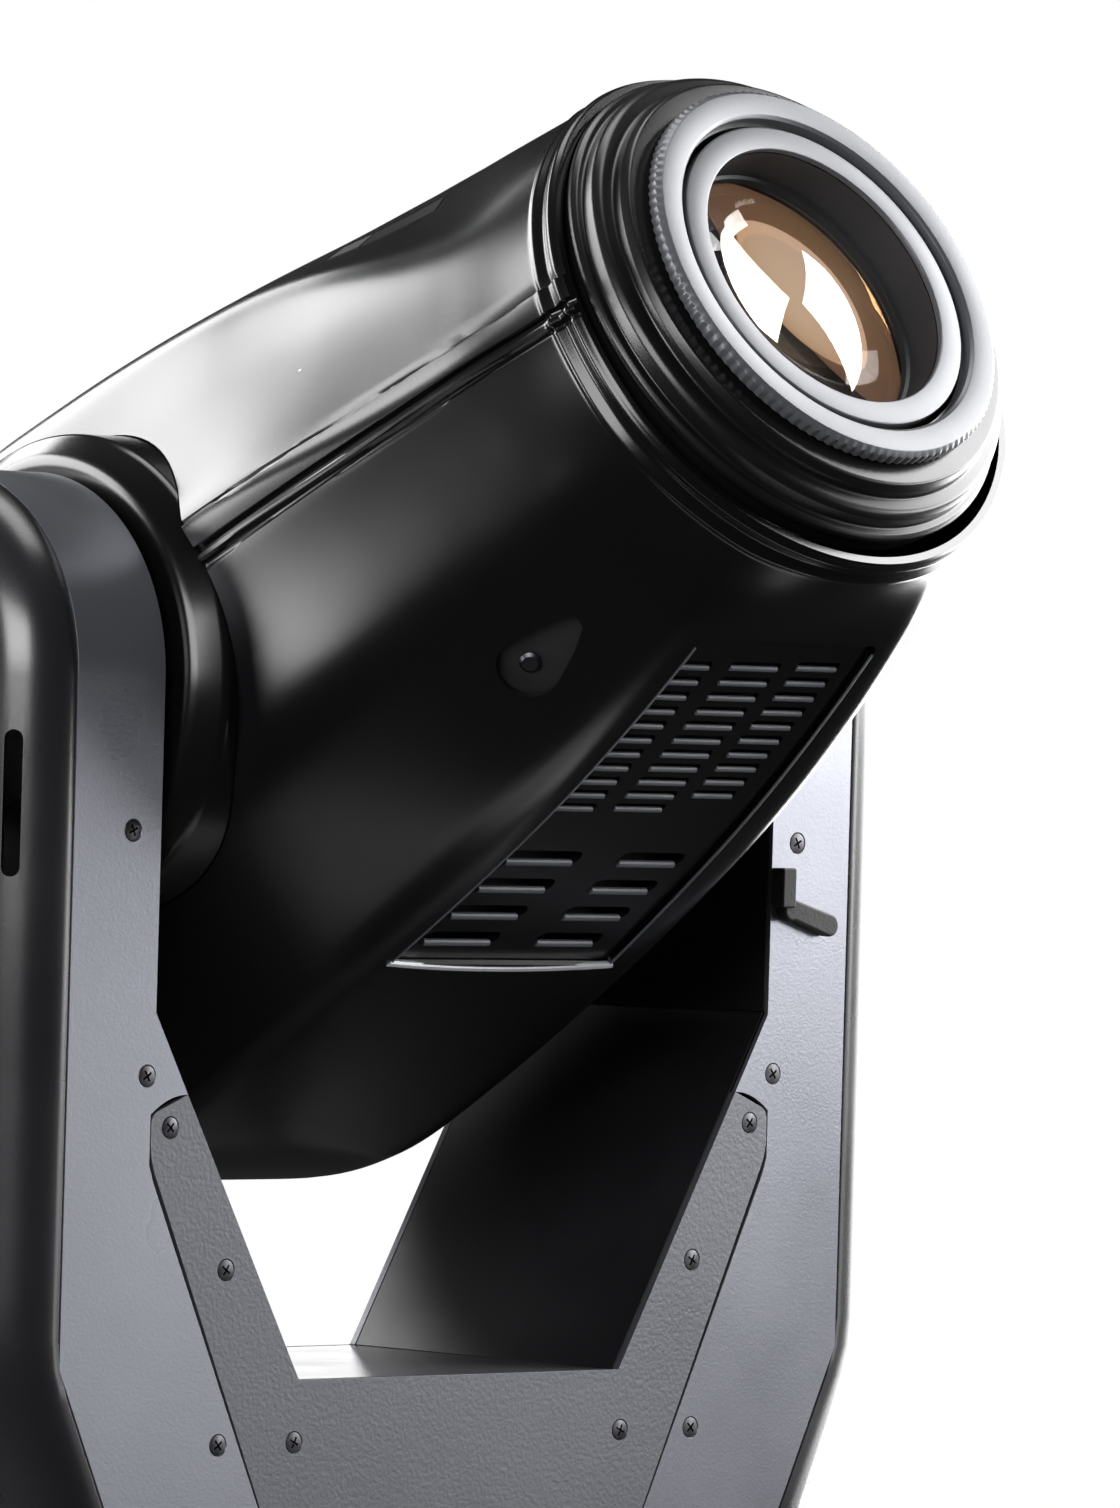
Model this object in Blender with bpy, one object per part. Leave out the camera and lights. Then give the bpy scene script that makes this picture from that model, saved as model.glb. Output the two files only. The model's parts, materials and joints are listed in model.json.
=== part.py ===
"""Moving head stage light: base, pan yoke and tilting head, one object for each piece.

Units are metres and +Z is up. The origin is the centre of the base plate's underside, X runs
across the yoke and -Y is the front. The yoke is modelled round the tilt axis, and the head in
its own frame, with local +Z along the light beam and local -Y on its underside.
"""
from math import asin, cos, degrees, hypot, pi, radians, sin, sqrt

import bmesh
import bpy
from mathutils import Matrix

# Driving dimensions of the whole light.
AXIS_HEIGHT = 0.530          # tilt axis above the base plate's underside
HEAD_HALF = 0.1575           # half width of the head over its pivot bosses
HEAD_FRONT = 0.3057          # tilt axis to the lip round the lens
HEAD_REAR = 0.222            # tilt axis to the back of the tail
YOKE_DEPTH = 0.157           # front plate to rear plate
ARM_WIDTH = 0.0435           # painted plate, inner edge to outer edge
COVER_BULGE = 0.028          # outer covers beyond the plates
BASE_WIDTH = 0.420
BASE_DEPTH = 0.390
BASE_HEIGHT = 0.148

# Clearances.
FIT = 0.0003                 # between pieces that touch
BOSS_FIT = 0.0008            # pivot boss to the head's covers
RUNNING = 0.0005             # between pieces that turn or slide in one another
ARM_GAP = 0.006              # pivot boss to arm
PAN_GAP = 0.008              # yoke to the top of the base

# Tilt and pan.
TILT_FORWARD = 58.67         # degrees from upright, as it rests here
PLATE = 0.002                # sheet metal
SHELL = 0.003                # moulded covers

# Yoke outline, measured down from the tilt axis.
KINK_DROP = 0.126            # inner edge turns in towards the beam
BEAM_DROP = 0.2666           # top of the beam
BEAM_HALF = 0.0853           # half of the beam's clear top
TAPER_DROP = 0.260           # outer edge turns in towards the base
YOKE_DROP = AXIS_HEIGHT - BASE_HEIGHT - PAN_GAP
YOKE_FOOT_HALF = 0.1545      # half width of the yoke at its foot
GUSSET_HALF = 0.1645         # widest part of the gusset plate
GUSSET_TOP_DROP = 0.157
GUSSET_FOOT_HALF = 0.077
GUSSET_PLATE = 0.003

# Pivots.
BOSS_RADIUS = 0.094
BOSS_BORE = 0.060
BOSS_REACH = 0.052           # depth of the boss's skirt, past the narrowest part of the cover
HUB_RADIUS = 0.055
TRUNNION_RADIUS = 0.025
BEARING_RADIUS = 0.040
BEARING_WIDTH = 0.014
TILT_PULLEY_RADIUS = 0.055
MOTOR_PULLEY_RADIUS = 0.011
TILT_MOTOR_DROP = 0.185
PAN_SHAFT_RADIUS = 0.030
PAN_PULLEY_RADIUS = 0.070
PAN_MOTOR_OFFSET = 0.125
BELT_WIDTH = 0.009
BELT_THICK = 0.002

# Optics, along the beam from the tilt axis.
LIP_BORE = 0.056
LIP_RADIUS = 0.066
TRIM_RADIUS = 0.0812
LENS_RADIUS = 0.0600
LENS_DEPTH = 0.0297           # the lens's seat behind the lip
WHEEL_RADIUS = 0.062
WHEEL_OFFSET = 0.046
BLADE_SPREAD = 0.072
BLADE_SWING = 60             # degrees from shut to open
CARRIAGE_RADIUS = 0.040
ZOOM_REST = 0.075
FOCUS_REST = 0.175
LIGHT_RADIUS = 0.030         # the beam where it passes the rear walls
ROD_RADIUS = 0.004
ROD_SPREAD = 0.062

# Vent panel on the head's underside.
VENT_FRONT = 0.222
VENT_REAR = 0.026
VENT_HALF_FRONT = 0.047
VENT_HALF_REAR = 0.058
VENT_RECESS = 0.0025

ARM_IN = HEAD_HALF + ARM_GAP
ARM_OUT = ARM_IN + ARM_WIDTH
COVER_OUT = ARM_OUT + COVER_BULGE
WEDGE = (ARM_IN - BEAM_HALF) / (BEAM_DROP - KINK_DROP)
HALF_DEPTH = YOKE_DEPTH / 2
LENS_SEAT = HEAD_FRONT - LENS_DEPTH
SIDES = (("left", -1), ("right", 1))
ROUND = 40                   # facets on the large turned pieces

MATERIALS = {
    "black_plastic": ((0.012, 0.012, 0.014), 0.42, 0.0),
    "grey_paint": ((0.17, 0.175, 0.19), 0.42, 0.35),
    "gusset_grey": ((0.085, 0.087, 0.095), 0.62, 0.3),
    "black_sheet": ((0.010, 0.010, 0.012), 0.5, 0.2),
    "light_trim": ((0.42, 0.43, 0.45), 0.35, 0.5),
    "steel": ((0.55, 0.55, 0.56), 0.3, 1.0),
    "aluminium": ((0.62, 0.62, 0.64), 0.35, 1.0),
    "glass": ((0.85, 0.80, 0.72), 0.05, 0.0),
    "rubber": ((0.015, 0.015, 0.015), 0.8, 0.0),
    "display_blue": ((0.02, 0.05, 0.10), 0.15, 0.0),
}


def clear_scene():
    for item in list(bpy.data.objects):
        bpy.data.objects.remove(item, do_unlink=True)


def material(name):
    found = bpy.data.materials.get(name)
    if found:
        return found
    colour, roughness, metallic = MATERIALS[name]
    made = bpy.data.materials.new(name)
    made.use_nodes = True
    shader = made.node_tree.nodes["Principled BSDF"]
    shader.inputs["Base Color"].default_value = (*colour, 1.0)
    shader.inputs["Roughness"].default_value = roughness
    shader.inputs["Metallic"].default_value = metallic
    made.diffuse_color = (*colour, 1.0)
    return made


def empty(name, place, tilt=0.0, parent=None):
    made = bpy.data.objects.new(name, None)
    bpy.context.scene.collection.objects.link(made)
    made.location = place
    made.rotation_euler.x = tilt
    made.parent = parent
    return made


def piece(name, shape, look, place=(0, 0, 0), turn=(0, 0, 0), parent=None, cuts=()):
    """One solid piece; each cut is a closed bmesh in the piece's own coordinates."""
    mesh = mesh_of(shape, name)
    made = bpy.data.objects.new(name, mesh)
    bpy.context.scene.collection.objects.link(made)
    for cut in cuts:
        combine(made, cut, "DIFFERENCE")
    made.data.materials.clear()
    made.data.materials.append(material(look))
    made.data.shade_smooth()
    made.data.set_sharp_from_angle(angle=radians(30))
    made.location = place
    made.rotation_euler = turn
    made.parent = parent
    return made


def mesh_of(shape, name):
    bmesh.ops.recalc_face_normals(shape, faces=shape.faces)
    mesh = bpy.data.meshes.new(name)
    shape.to_mesh(mesh)
    shape.free()
    return mesh


def combine(target, shape, operation):
    """Apply a Boolean with a throwaway tool object and keep the result as plain mesh."""
    tool = bpy.data.objects.new("tool", mesh_of(shape, "tool"))
    bpy.context.scene.collection.objects.link(tool)
    tool.parent = target
    step = target.modifiers.new("step", "BOOLEAN")
    step.operation = operation
    step.solver = "EXACT"
    step.object = tool
    bpy.context.view_layer.update()
    graph = bpy.context.evaluated_depsgraph_get()
    result = bpy.data.meshes.new_from_object(target.evaluated_get(graph))
    target.modifiers.clear()
    target.data = result
    bpy.data.objects.remove(tool, do_unlink=True)


def moved(shape, matrix):
    bmesh.ops.transform(shape, matrix=matrix, verts=shape.verts)
    return shape


def shifted(shape, x, y, z):
    return moved(shape, Matrix.Translation((x, y, z)))


def along_x(shape):
    """Turn a shape made round Z so that its axis is X."""
    return moved(shape, Matrix.Rotation(pi / 2, 4, "Y"))


def box(low, high):
    shape = bmesh.new()
    bmesh.ops.create_cube(shape, size=1)
    size = [h - l for l, h in zip(low, high)]
    centre = [(h + l) / 2 for l, h in zip(low, high)]
    return moved(shape, Matrix.Translation(centre) @ Matrix.Diagonal((*size, 1)))


def prism(outline, low, high, plane="XY"):
    """Extrude an outline of (a, b) points from low to high along the third axis."""
    order = {"XY": (0, 1, 2), "XZ": (0, 2, 1), "YZ": (1, 2, 0)}[plane]
    shape = bmesh.new()
    rings = []
    for level in (low, high):
        ring = []
        for a, b in outline:
            point = [0, 0, 0]
            point[order[0]] = a
            point[order[1]] = b
            point[order[2]] = level
            ring.append(shape.verts.new(point))
        rings.append(ring)
    shape.faces.new(rings[0])
    shape.faces.new(list(reversed(rings[1])))
    count = len(outline)
    for i in range(count):
        j = (i + 1) % count
        shape.faces.new((rings[0][i], rings[0][j], rings[1][j], rings[1][i]))
    return shape


def turned(profile, sides=32):
    """Turn a closed outline of (radius, height) points round Z."""
    shape = bmesh.new()
    columns = []
    for radius, height in profile:
        if radius < 1e-6:
            columns.append([shape.verts.new((0, 0, height))] * sides)
            continue
        ring = []
        for k in range(sides):
            angle = 2 * pi * k / sides
            ring.append(shape.verts.new((radius * cos(angle), radius * sin(angle), height)))
        columns.append(ring)
    for first, second in zip(columns, columns[1:] + columns[:1]):
        for k in range(sides):
            m = (k + 1) % sides
            corners = list(dict.fromkeys((first[k], first[m], second[m], second[k])))
            if len(corners) > 2:
                shape.faces.new(corners)
    return shape


def rod(radius, low, high, sides=24):
    return turned([(0, low), (radius, low), (radius, high), (0, high)], sides)


def tube(inner, outer, low, high, sides=24):
    return turned([(inner, low), (outer, low), (outer, high), (inner, high)], sides)


def arc(centre, radius, start, end, steps):
    """Points on an arc, angles in degrees."""
    points = []
    for k in range(steps + 1):
        angle = radians(start + (end - start) * k / steps)
        points.append((centre[0] + radius * cos(angle), centre[1] + radius * sin(angle)))
    return points


def joined(shapes):
    """Several separate closed shapes as one bmesh, for use as one tool."""
    whole = bmesh.new()
    for shape in shapes:
        mesh = bpy.data.meshes.new("part")
        shape.to_mesh(mesh)
        shape.free()
        whole.from_mesh(mesh)
        bpy.data.meshes.remove(mesh)
    return whole


def mirrored(outline):
    """Mirror an outline in its first coordinate."""
    return [(-a, b) for a, b in reversed(outline)]


# ---------------------------------------------------------------- head

SHELL_FRONT = HEAD_FRONT - 0.028
SHELL_REAR = -HEAD_REAR + 0.017
BODY = (                      # station behind the lip: corner radius over head half width
    (0.178, 0.680), (0.50, 0.766), (0.80, 0.842), (1.15, 0.918), (1.55, 0.982),
    (2.00, 1.012), (2.50, 1.022), (2.78, 1.000), (3.02, 0.915), (3.35, 0.720),
)
CORNERS = (90, 60, 28, 0)     # degrees from the underside to each corner and to the middle
STATIONS = 3.3505             # the tail's station, so that the lines stretch with the head
FLAT_FROM = 0.178             # round until this station
FLAT_BY = 0.53                # and with a flat underside from here on


def behind_lip(height):
    return STATIONS * (HEAD_FRONT - height) / (HEAD_FRONT + HEAD_REAR)


def station_height(station):
    return HEAD_FRONT - station * (HEAD_FRONT + HEAD_REAR) / STATIONS


def body_radius(height):
    """Corner radius of the head at a height along its axis."""
    behind = behind_lip(height)
    for (l0, r0), (l1, r1) in zip(BODY, BODY[1:]):
        if behind <= l1 or (l1, r1) == BODY[-1]:
            return HEAD_HALF * (r0 + (r1 - r0) * (behind - l0) / (l1 - l0))


def underside(height):
    """Depth of the middle of the underside, which is flat between its corners."""
    share = (behind_lip(height) - FLAT_FROM) / (FLAT_BY - FLAT_FROM)
    share = min(1.0, max(0.0, share))
    return body_radius(height) * (1 - share * (1 - cos(radians(CORNERS[-2]))))


def section(height, inset=0.0):
    """Lower half of the head's outline at a height, from its right side to its left."""
    radius = body_radius(height) - inset
    right = []
    for corner in CORNERS[:-1]:
        x = radius * sin(radians(corner))
        y = -radius * cos(radians(corner))
        reach = hypot(y, min(height, 0.0))
        room = HEAD_HALF - 0.0006 - max(0.0, reach - KINK_DROP) * WEDGE * (height < 0)
        right.append((min(x, room - inset), y))
    middle = (0.0, inset - underside(height))
    return right + [middle] + [(-x, y) for x, y in reversed(right)]


def shell_heights():
    stations = [station_height(l) for l, r in BODY]
    inside = [h for h in stations if SHELL_REAR + 0.004 < h < SHELL_FRONT - 0.004]
    return [SHELL_FRONT] + inside + [SHELL_REAR]


def half_shell(side):
    """Half of the head's cover: side is -1 for the underside and +1 for the top."""
    shape = bmesh.new()
    gap = 0.0008
    rows = []
    for height in shell_heights():
        pair = []
        for inset in (0.0, SHELL):
            ring = []
            for x, y in section(height, inset):
                ring.append(shape.verts.new((x, side * max(-y, gap), height)))
            pair.append(ring)
        rows.append(pair)
    for (outer0, inner0), (outer1, inner1) in zip(rows, rows[1:]):
        for i in range(len(outer0) - 1):
            shape.faces.new((outer0[i], outer0[i + 1], outer1[i + 1], outer1[i]))
            shape.faces.new((inner0[i], inner1[i], inner1[i + 1], inner0[i + 1]))
        for i in (0, -1):
            shape.faces.new((outer0[i], outer1[i], inner1[i], inner0[i]))
    for outer, inner in (rows[0], rows[-1]):
        for i in range(len(outer) - 1):
            shape.faces.new((outer[i], inner[i], inner[i + 1], outer[i + 1]))
    return shape


def vent_half(height):
    share = (height - VENT_REAR) / (VENT_FRONT - VENT_REAR)
    return VENT_HALF_REAR + (VENT_HALF_FRONT - VENT_HALF_REAR) * share


def vent_levels():
    stations = [station_height(l) for l, r in BODY]
    inside = [h for h in stations if VENT_REAR + 0.004 < h < VENT_FRONT - 0.004]
    return [VENT_FRONT] + inside + [VENT_REAR]


def vent_patch(margin, near, far):
    """A patch that follows the underside, from near to far below its surface."""
    shape = bmesh.new()
    rows = []
    levels = vent_levels()
    levels[0] += margin
    levels[-1] -= margin
    for height in levels:
        half = vent_half(height) + margin
        depth = underside(height)
        corners = ((half, near), (-half, near), (-half, far), (half, far))
        rows.append([shape.verts.new((x, -depth + d, height)) for x, d in corners])
    for first, second in zip(rows, rows[1:]):
        for i in range(4):
            j = (i + 1) % 4
            shape.faces.new((first[i], first[j], second[j], second[i]))
    shape.faces.new(rows[0])
    shape.faces.new(rows[-1])
    return shape


def vent_slots():
    """Fine slots in three columns at the front, and wide ones in two columns behind."""
    columns = ((-0.0395, 0.0215, 10), (-0.0065, 0.0270, 10), (0.0275, 0.0225, 10))
    slots = []
    pitch = 0.0082
    for centre, width, count in columns:
        for k in range(count):
            height = 0.204 - pitch * k
            slots.append(slot(centre, width, height, 0.0042))
    for centre, width in ((-0.0300, 0.0380), (0.0270, 0.0340)):
        for k in range(4):
            slots.append(slot(centre, width, 0.094 - 0.018 * k, 0.0080))
    return joined(slots)


def slot(centre, width, height, opening):
    low = (centre - width / 2, -HEAD_HALF * 1.1, height - opening / 2)
    high = (centre + width / 2, -HEAD_HALF * 0.5, height + opening / 2)
    return box(low, high)


def tail_dish():
    """Closes the tail: an outer skin that draws in, with a hollow of one wall inside."""
    shape = bmesh.new()
    front = SHELL_REAR - FIT
    rear = -HEAD_REAR
    levels = ((front, 0.0, 0.0), (front - 0.006, 0.002, 0.0), (rear, 0.022, 0.0),
              (rear + SHELL, 0.024, 0.0), (front, SHELL, 0.0))
    rings = []
    for height, inset, extra in levels:
        lower = section(SHELL_REAR, inset)
        upper = [(x, -y) for x, y in reversed(lower)]
        outline = lower[:-1] + upper[:-1]
        rings.append([shape.verts.new((x, y, height)) for x, y in outline])
    count = len(rings[0])
    for first, second in zip(rings, rings[1:]):
        if first is rings[2]:
            continue
        for i in range(count):
            j = (i + 1) % count
            shape.faces.new((first[i], first[j], second[j], second[i]))
    for i in range(count):
        j = (i + 1) % count
        shape.faces.new((rings[4][i], rings[4][j], rings[0][j], rings[0][i]))
    shape.faces.new(rings[2])
    shape.faces.new(rings[3])
    return shape


def tail_grille():
    """Round air holes on two circles in the tail."""
    holes = []
    for radius, count in ((0.026, 6), (0.046, 10)):
        for k in range(count):
            angle = 2 * pi * k / count
            hole = rod(0.0055, -HEAD_REAR - 0.01, -HEAD_REAR + 0.01, 6)
            holes.append(shifted(hole, radius * cos(angle), radius * sin(angle), 0))
    return joined(holes)


def head_covers(head):
    for name, side in (("head_cover_upper", 1), ("head_cover_lower", -1)):
        cuts = [along_x(rod(BOSS_RADIUS + BOSS_FIT, -HEAD_HALF * 1.2, HEAD_HALF * 1.2, ROUND))]
        if side < 0:
            cuts.append(vent_patch(FIT, -0.02, 0.02))
        piece(name, half_shell(side), "black_plastic", parent=head, cuts=cuts)
    panel = vent_patch(0.0, VENT_RECESS, VENT_RECESS + PLATE)
    piece("vent_panel", panel, "black_plastic", parent=head, cuts=[vent_slots()])
    piece("rear_cap", tail_dish(), "black_plastic", parent=head, cuts=[tail_grille()])


def nose(head):
    """Stepped nose, light trim ring with its lip, and the front lens in its cone."""
    base = SHELL_FRONT + FIT
    foot = body_radius(SHELL_FRONT) - 0.001
    top = HEAD_FRONT - 0.0055
    seat = LENS_SEAT
    spigot = foot - 0.020
    profile = [
        (foot - 0.0103, base), (foot, base + 0.003), (foot - 0.003, base + 0.006),
        (TRIM_RADIUS * 1.215, base + 0.008), (TRIM_RADIUS * 1.195, base + 0.014),
        (TRIM_RADIUS * 1.12, base + 0.0165), (TRIM_RADIUS * 1.10, top),
        (LIP_RADIUS + 0.003, top), (LIP_RADIUS + 0.003, seat - 0.008), (spigot, seat - 0.008),
    ]
    piece("nose_ring", turned(profile, ROUND), "black_plastic", parent=head)
    lip = HEAD_FRONT
    profile = [
        (LIP_BORE, lip), (LIP_BORE - 0.003, lip - 0.002), (LENS_RADIUS - 0.002, seat + 0.006),
        (LENS_RADIUS - 0.002, seat + 0.003), (LIP_RADIUS + 0.0022, seat + 0.003),
        (LIP_RADIUS + 0.0022, top + FIT), (TRIM_RADIUS - 0.001, top + FIT),
        (TRIM_RADIUS, top + 0.001), (TRIM_RADIUS, lip + 0.001), (TRIM_RADIUS - 0.0015, lip + 0.0025),
        (0.0695, lip + 0.002), (0.069, lip - 0.0015), (LIP_RADIUS, lip - 0.0015),
        (LIP_RADIUS, lip),
    ]
    piece("trim_ring", turned(profile, ROUND), "light_trim", parent=head)
    rim = LENS_RADIUS + 0.004
    dome = []
    for k in range(6):
        share = k / 5
        dome.append((rim * 0.88 * (1 - share), seat - 0.001 + 0.017 * (1 - (1 - share) ** 2)))
    back = [(0, seat - 0.014), (rim * 0.6, seat - 0.011), (rim, seat - 0.006)]
    lens = back + [(rim, seat - 0.001)] + dome
    piece("front_lens", turned(lens, ROUND), "glass", parent=head)


def pivot_boss(side):
    """Boss on the head's side: a flange, and a skirt that reaches in to the covers."""
    flange = HEAD_HALF - 0.020
    skirt = HEAD_HALF - BOSS_REACH
    outline = [(BOSS_BORE, HEAD_HALF), (BOSS_BORE, flange), (BOSS_RADIUS - SHELL, flange),
               (BOSS_RADIUS - SHELL, skirt), (BOSS_RADIUS, skirt),
               (BOSS_RADIUS, HEAD_HALF - 0.003), (BOSS_RADIUS - 0.003, HEAD_HALF)]
    turn = Matrix.Rotation(side * pi / 2, 4, "Y")
    return moved(turned(outline, ROUND), turn)


def tilt_hub(side):
    """Hub bolted to the chassis, with its trunnion; the left one carries the belt pulley."""
    face = RAIL_OUT + FIT
    end = bearing_start() + BEARING_WIDTH + 0.002 + FIT
    outline = [(0, face), (HUB_RADIUS, face), (HUB_RADIUS, HEAD_HALF + 0.002),
               (TRUNNION_RADIUS, HEAD_HALF + 0.002), (TRUNNION_RADIUS, end)]
    if side < 0:
        far = end + BELT_WIDTH + 0.002
        outline += [(TILT_PULLEY_RADIUS, end), (TILT_PULLEY_RADIUS, far), (0, far)]
    else:
        outline += [(0, end)]
    turn = Matrix.Rotation(side * pi / 2, 4, "Y")
    return moved(turned(outline, 28), turn)


def pivots(head):
    """Pivot bosses on the head's sides, and the hubs that run in the arms."""
    slot_half = RAIL_HALF + 0.001
    for name, side in SIDES:
        rails = box((-RAIL_OUT - 0.001, -slot_half, -BOSS_RADIUS * 1.1),
                    (RAIL_OUT + 0.001, slot_half, BOSS_RADIUS * 1.1))
        piece(f"pivot_boss_{name}", pivot_boss(side), "black_plastic", parent=head, cuts=[rails])
        piece(f"tilt_hub_{name}", tilt_hub(side), "aluminium", parent=head)


BOSS_CLEAR = BOSS_RADIUS - 0.0039    # room inside the skirt of a pivot boss
WALLS = (-BOSS_CLEAR + 0.0151, 0.012, 0.145)   # cross walls of the chassis, along the beam
FRONT_WALL = 0.232
WALL = 0.003
RAIL_OUT = min(body_radius(WALLS[-1] + WALL), body_radius(WALLS[0])) - SHELL - 0.0130
RAIL_IN = RAIL_OUT - 0.010
RAIL_HALF = 0.022


def bearing_start():
    return ARM_IN + PLATE + FIT


def head_chassis(head):
    """Two side rails, cross walls and guide rods, welded into one frame."""
    low = WALLS[0] - 0.060
    high = WALLS[-1] + WALL
    made = piece("head_chassis", box((RAIL_IN, -RAIL_HALF, low), (RAIL_OUT, RAIL_HALF, high)),
                 "aluminium", parent=head)
    other = box((-RAIL_OUT, -RAIL_HALF, low), (-RAIL_IN, RAIL_HALF, high))
    walls = []
    rear_tall = sqrt(BOSS_CLEAR ** 2 - WALLS[0] ** 2)
    for height, tall in zip(WALLS, (rear_tall, BOSS_RADIUS * 0.8, RAIL_OUT * 0.4)):
        reach = RAIL_OUT - 0.004
        walls.append(box((-reach, -tall, height), (reach, tall, height + WALL)))
    small = (body_radius(FRONT_WALL + WALL) - SHELL) * 0.62
    walls.append(box((-small, -small, FRONT_WALL), (small, small, FRONT_WALL + WALL)))
    for wall in walls[:1] + [other] + walls[1:]:
        combine(made, wall, "UNION")
    for turn in range(4):
        guide = rod(ROD_RADIUS, WALLS[1] + 0.001, FRONT_WALL + 0.001, 8)
        angle = turn * pi / 2
        guide = shifted(guide, ROD_SPREAD * cos(angle), ROD_SPREAD * sin(angle), 0)
        combine(made, guide, "UNION")
    combine(made, rod(CARRIAGE_RADIUS + 0.004, WALLS[1] + 0.02, HEAD_FRONT, 20), "DIFFERENCE")
    combine(made, rod(LIGHT_RADIUS, low, WALLS[1] + 0.02, 16), "DIFFERENCE")


def lamp_module(head):
    """Discharge lamp with its own reflector, in one unit behind the rear bulkhead."""
    seat = WALLS[0] - FIT
    bowl = []
    for k in range(5):
        share = k / 4
        bowl.append((0.0345 - 0.0205 * share ** 1.6, seat - 0.055 * share))
    bulb = [(0, seat - 0.018), (0.005, seat - 0.021), (0.005, seat - 0.033), (0.0075, seat - 0.054)]
    wall = [(radius + 0.0035, height - 0.003) for radius, height in bowl]
    flange = [(0.048, seat), (0.048, seat - 0.003)]
    base = [(0.0125, seat - 0.060), (0.0125, seat - 0.080), (0, seat - 0.080)]
    outline = bulb + list(reversed(bowl)) + flange + wall + base
    piece("lamp_module", turned(outline, 16), "aluminium", parent=head)


def filter_wheel(name, height, side, look, head):
    """A wheel with filters on its rim, which stands beside the light beam."""
    holes = []
    for k in range(7):
        angle = 2 * pi * k / 7 - side * pi / 2
        hole = rod(0.0135, -0.01, 0.01, 10)
        holes.append(shifted(hole, WHEEL_OFFSET * cos(angle), WHEEL_OFFSET * sin(angle), 0))
    disc = turned([(0, -0.006), (0.010, -0.006), (0.010, -0.001), (WHEEL_RADIUS, -0.001),
                   (WHEEL_RADIUS, 0.001), (0, 0.001)], 28)
    piece(name, disc, look, place=(0, side * WHEEL_OFFSET, height), parent=head,
          cuts=[joined(holes)])


def dimmer_blade(name, side, height, head):
    """A flag on a pivot beside the beam, which swings in to the middle to darken it."""
    half = BLADE_SPREAD * 0.44
    tip = BLADE_SPREAD + 0.002
    upper = [(-0.006, 0.007), (0.030, half), (tip, half)]
    outline = upper + [(a, -b) for a, b in reversed(upper)]
    blade = prism([(-side * a, b) for a, b in outline], -0.0005, 0.0005)
    piece(name, blade, "black_sheet", place=(side * BLADE_SPREAD, 0, height),
          turn=(0, 0, -side * radians(BLADE_SWING)), parent=head)


def carriage(name, height, head):
    """A lens plate that slides on the two guide rods."""
    plate = turned([(0, -0.005), (CARRIAGE_RADIUS * 0.8, -0.0045), (CARRIAGE_RADIUS, -0.002),
                    (CARRIAGE_RADIUS, 0.002), (CARRIAGE_RADIUS * 0.8, 0.0045), (0, 0.005)], 20)
    made = piece(name, plate, "aluminium", place=(0, 0, height), parent=head)
    reach = ROD_SPREAD + ROD_RADIUS + 0.006
    ears = box((-reach, -0.009, -0.002), (reach, 0.009, 0.002))
    combine(made, ears, "UNION")
    for side in (-1, 1):
        bore = rod(ROD_RADIUS + RUNNING, -0.01, 0.01, 12)
        combine(made, shifted(bore, side * ROD_SPREAD, 0, 0), "DIFFERENCE")


def fan(name, radius, place, parent, turn=(0, 0, 0)):
    """Hub with nine blades, turning round its own Z."""
    made = piece(name, rod(radius * 0.42, -0.006, 0.006, 12), "black_plastic",
                 place=place, turn=turn, parent=parent)
    for k in range(7):
        blade = box((radius * 0.36, -0.001, -0.005), (radius, 0.001, 0.005))
        pitch = Matrix.Rotation(radians(35), 4, "X")
        spin = Matrix.Rotation(2 * pi * k / 7, 4, "Z")
        combine(made, moved(blade, spin @ pitch), "UNION")
    return made


def build_head():
    head = empty("head_axis", (0, 0, AXIS_HEIGHT), radians(TILT_FORWARD))
    head_covers(head)
    nose(head)
    pivots(head)
    head_chassis(head)
    lamp_module(head)
    filter_wheel("colour_wheel", WALLS[0] + 0.023, 1, "glass", head)
    filter_wheel("gobo_wheel", WALLS[0] + 0.045, -1, "steel", head)
    dimmer_blade("dimmer_blade_left", -1, WALLS[0] + 0.0635, head)
    dimmer_blade("dimmer_blade_right", 1, WALLS[0] + 0.0685, head)
    carriage("zoom_carriage", ZOOM_REST, head)
    carriage("focus_carriage", FOCUS_REST, head)
    fan("head_fan", 0.040, (0, 0, -HEAD_REAR + 0.024), head)


# ---------------------------------------------------------------- yoke

def seam_line():
    """Seam between the gusset plate and the painted plate, from the top down."""
    top = ARM_IN - (GUSSET_TOP_DROP - KINK_DROP) * WEDGE
    return [(top, -GUSSET_TOP_DROP), (GUSSET_HALF, -GUSSET_TOP_DROP - 0.0075),
            (GUSSET_HALF, -GUSSET_TOP_DROP - 0.0245), (GUSSET_FOOT_HALF, -YOKE_DROP)]


def arm_outline():
    """The painted plate below the tilt axis: outer edge down, seam and inner edge up."""
    seam = [(x + FIT, z) for x, z in reversed(seam_line())]
    return [(ARM_IN, 0.0), (ARM_OUT, 0.0), (ARM_OUT, -TAPER_DROP),
            (YOKE_FOOT_HALF, -YOKE_DROP)] + seam + [(ARM_IN, -KINK_DROP)]


def gusset_plates(yoke):
    seam = seam_line()
    right = [seam[3], seam[2], seam[1], seam[0], (BEAM_HALF, -BEAM_DROP)]
    outline = right + mirrored(right)
    for name, side in (("front", -1), ("rear", 1)):
        near = side * HALF_DEPTH
        far = side * (HALF_DEPTH - GUSSET_PLATE)
        shape = prism(outline, near, far, "XZ")
        piece(f"gusset_plate_{name}", shape, "gusset_grey", parent=yoke)


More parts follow.
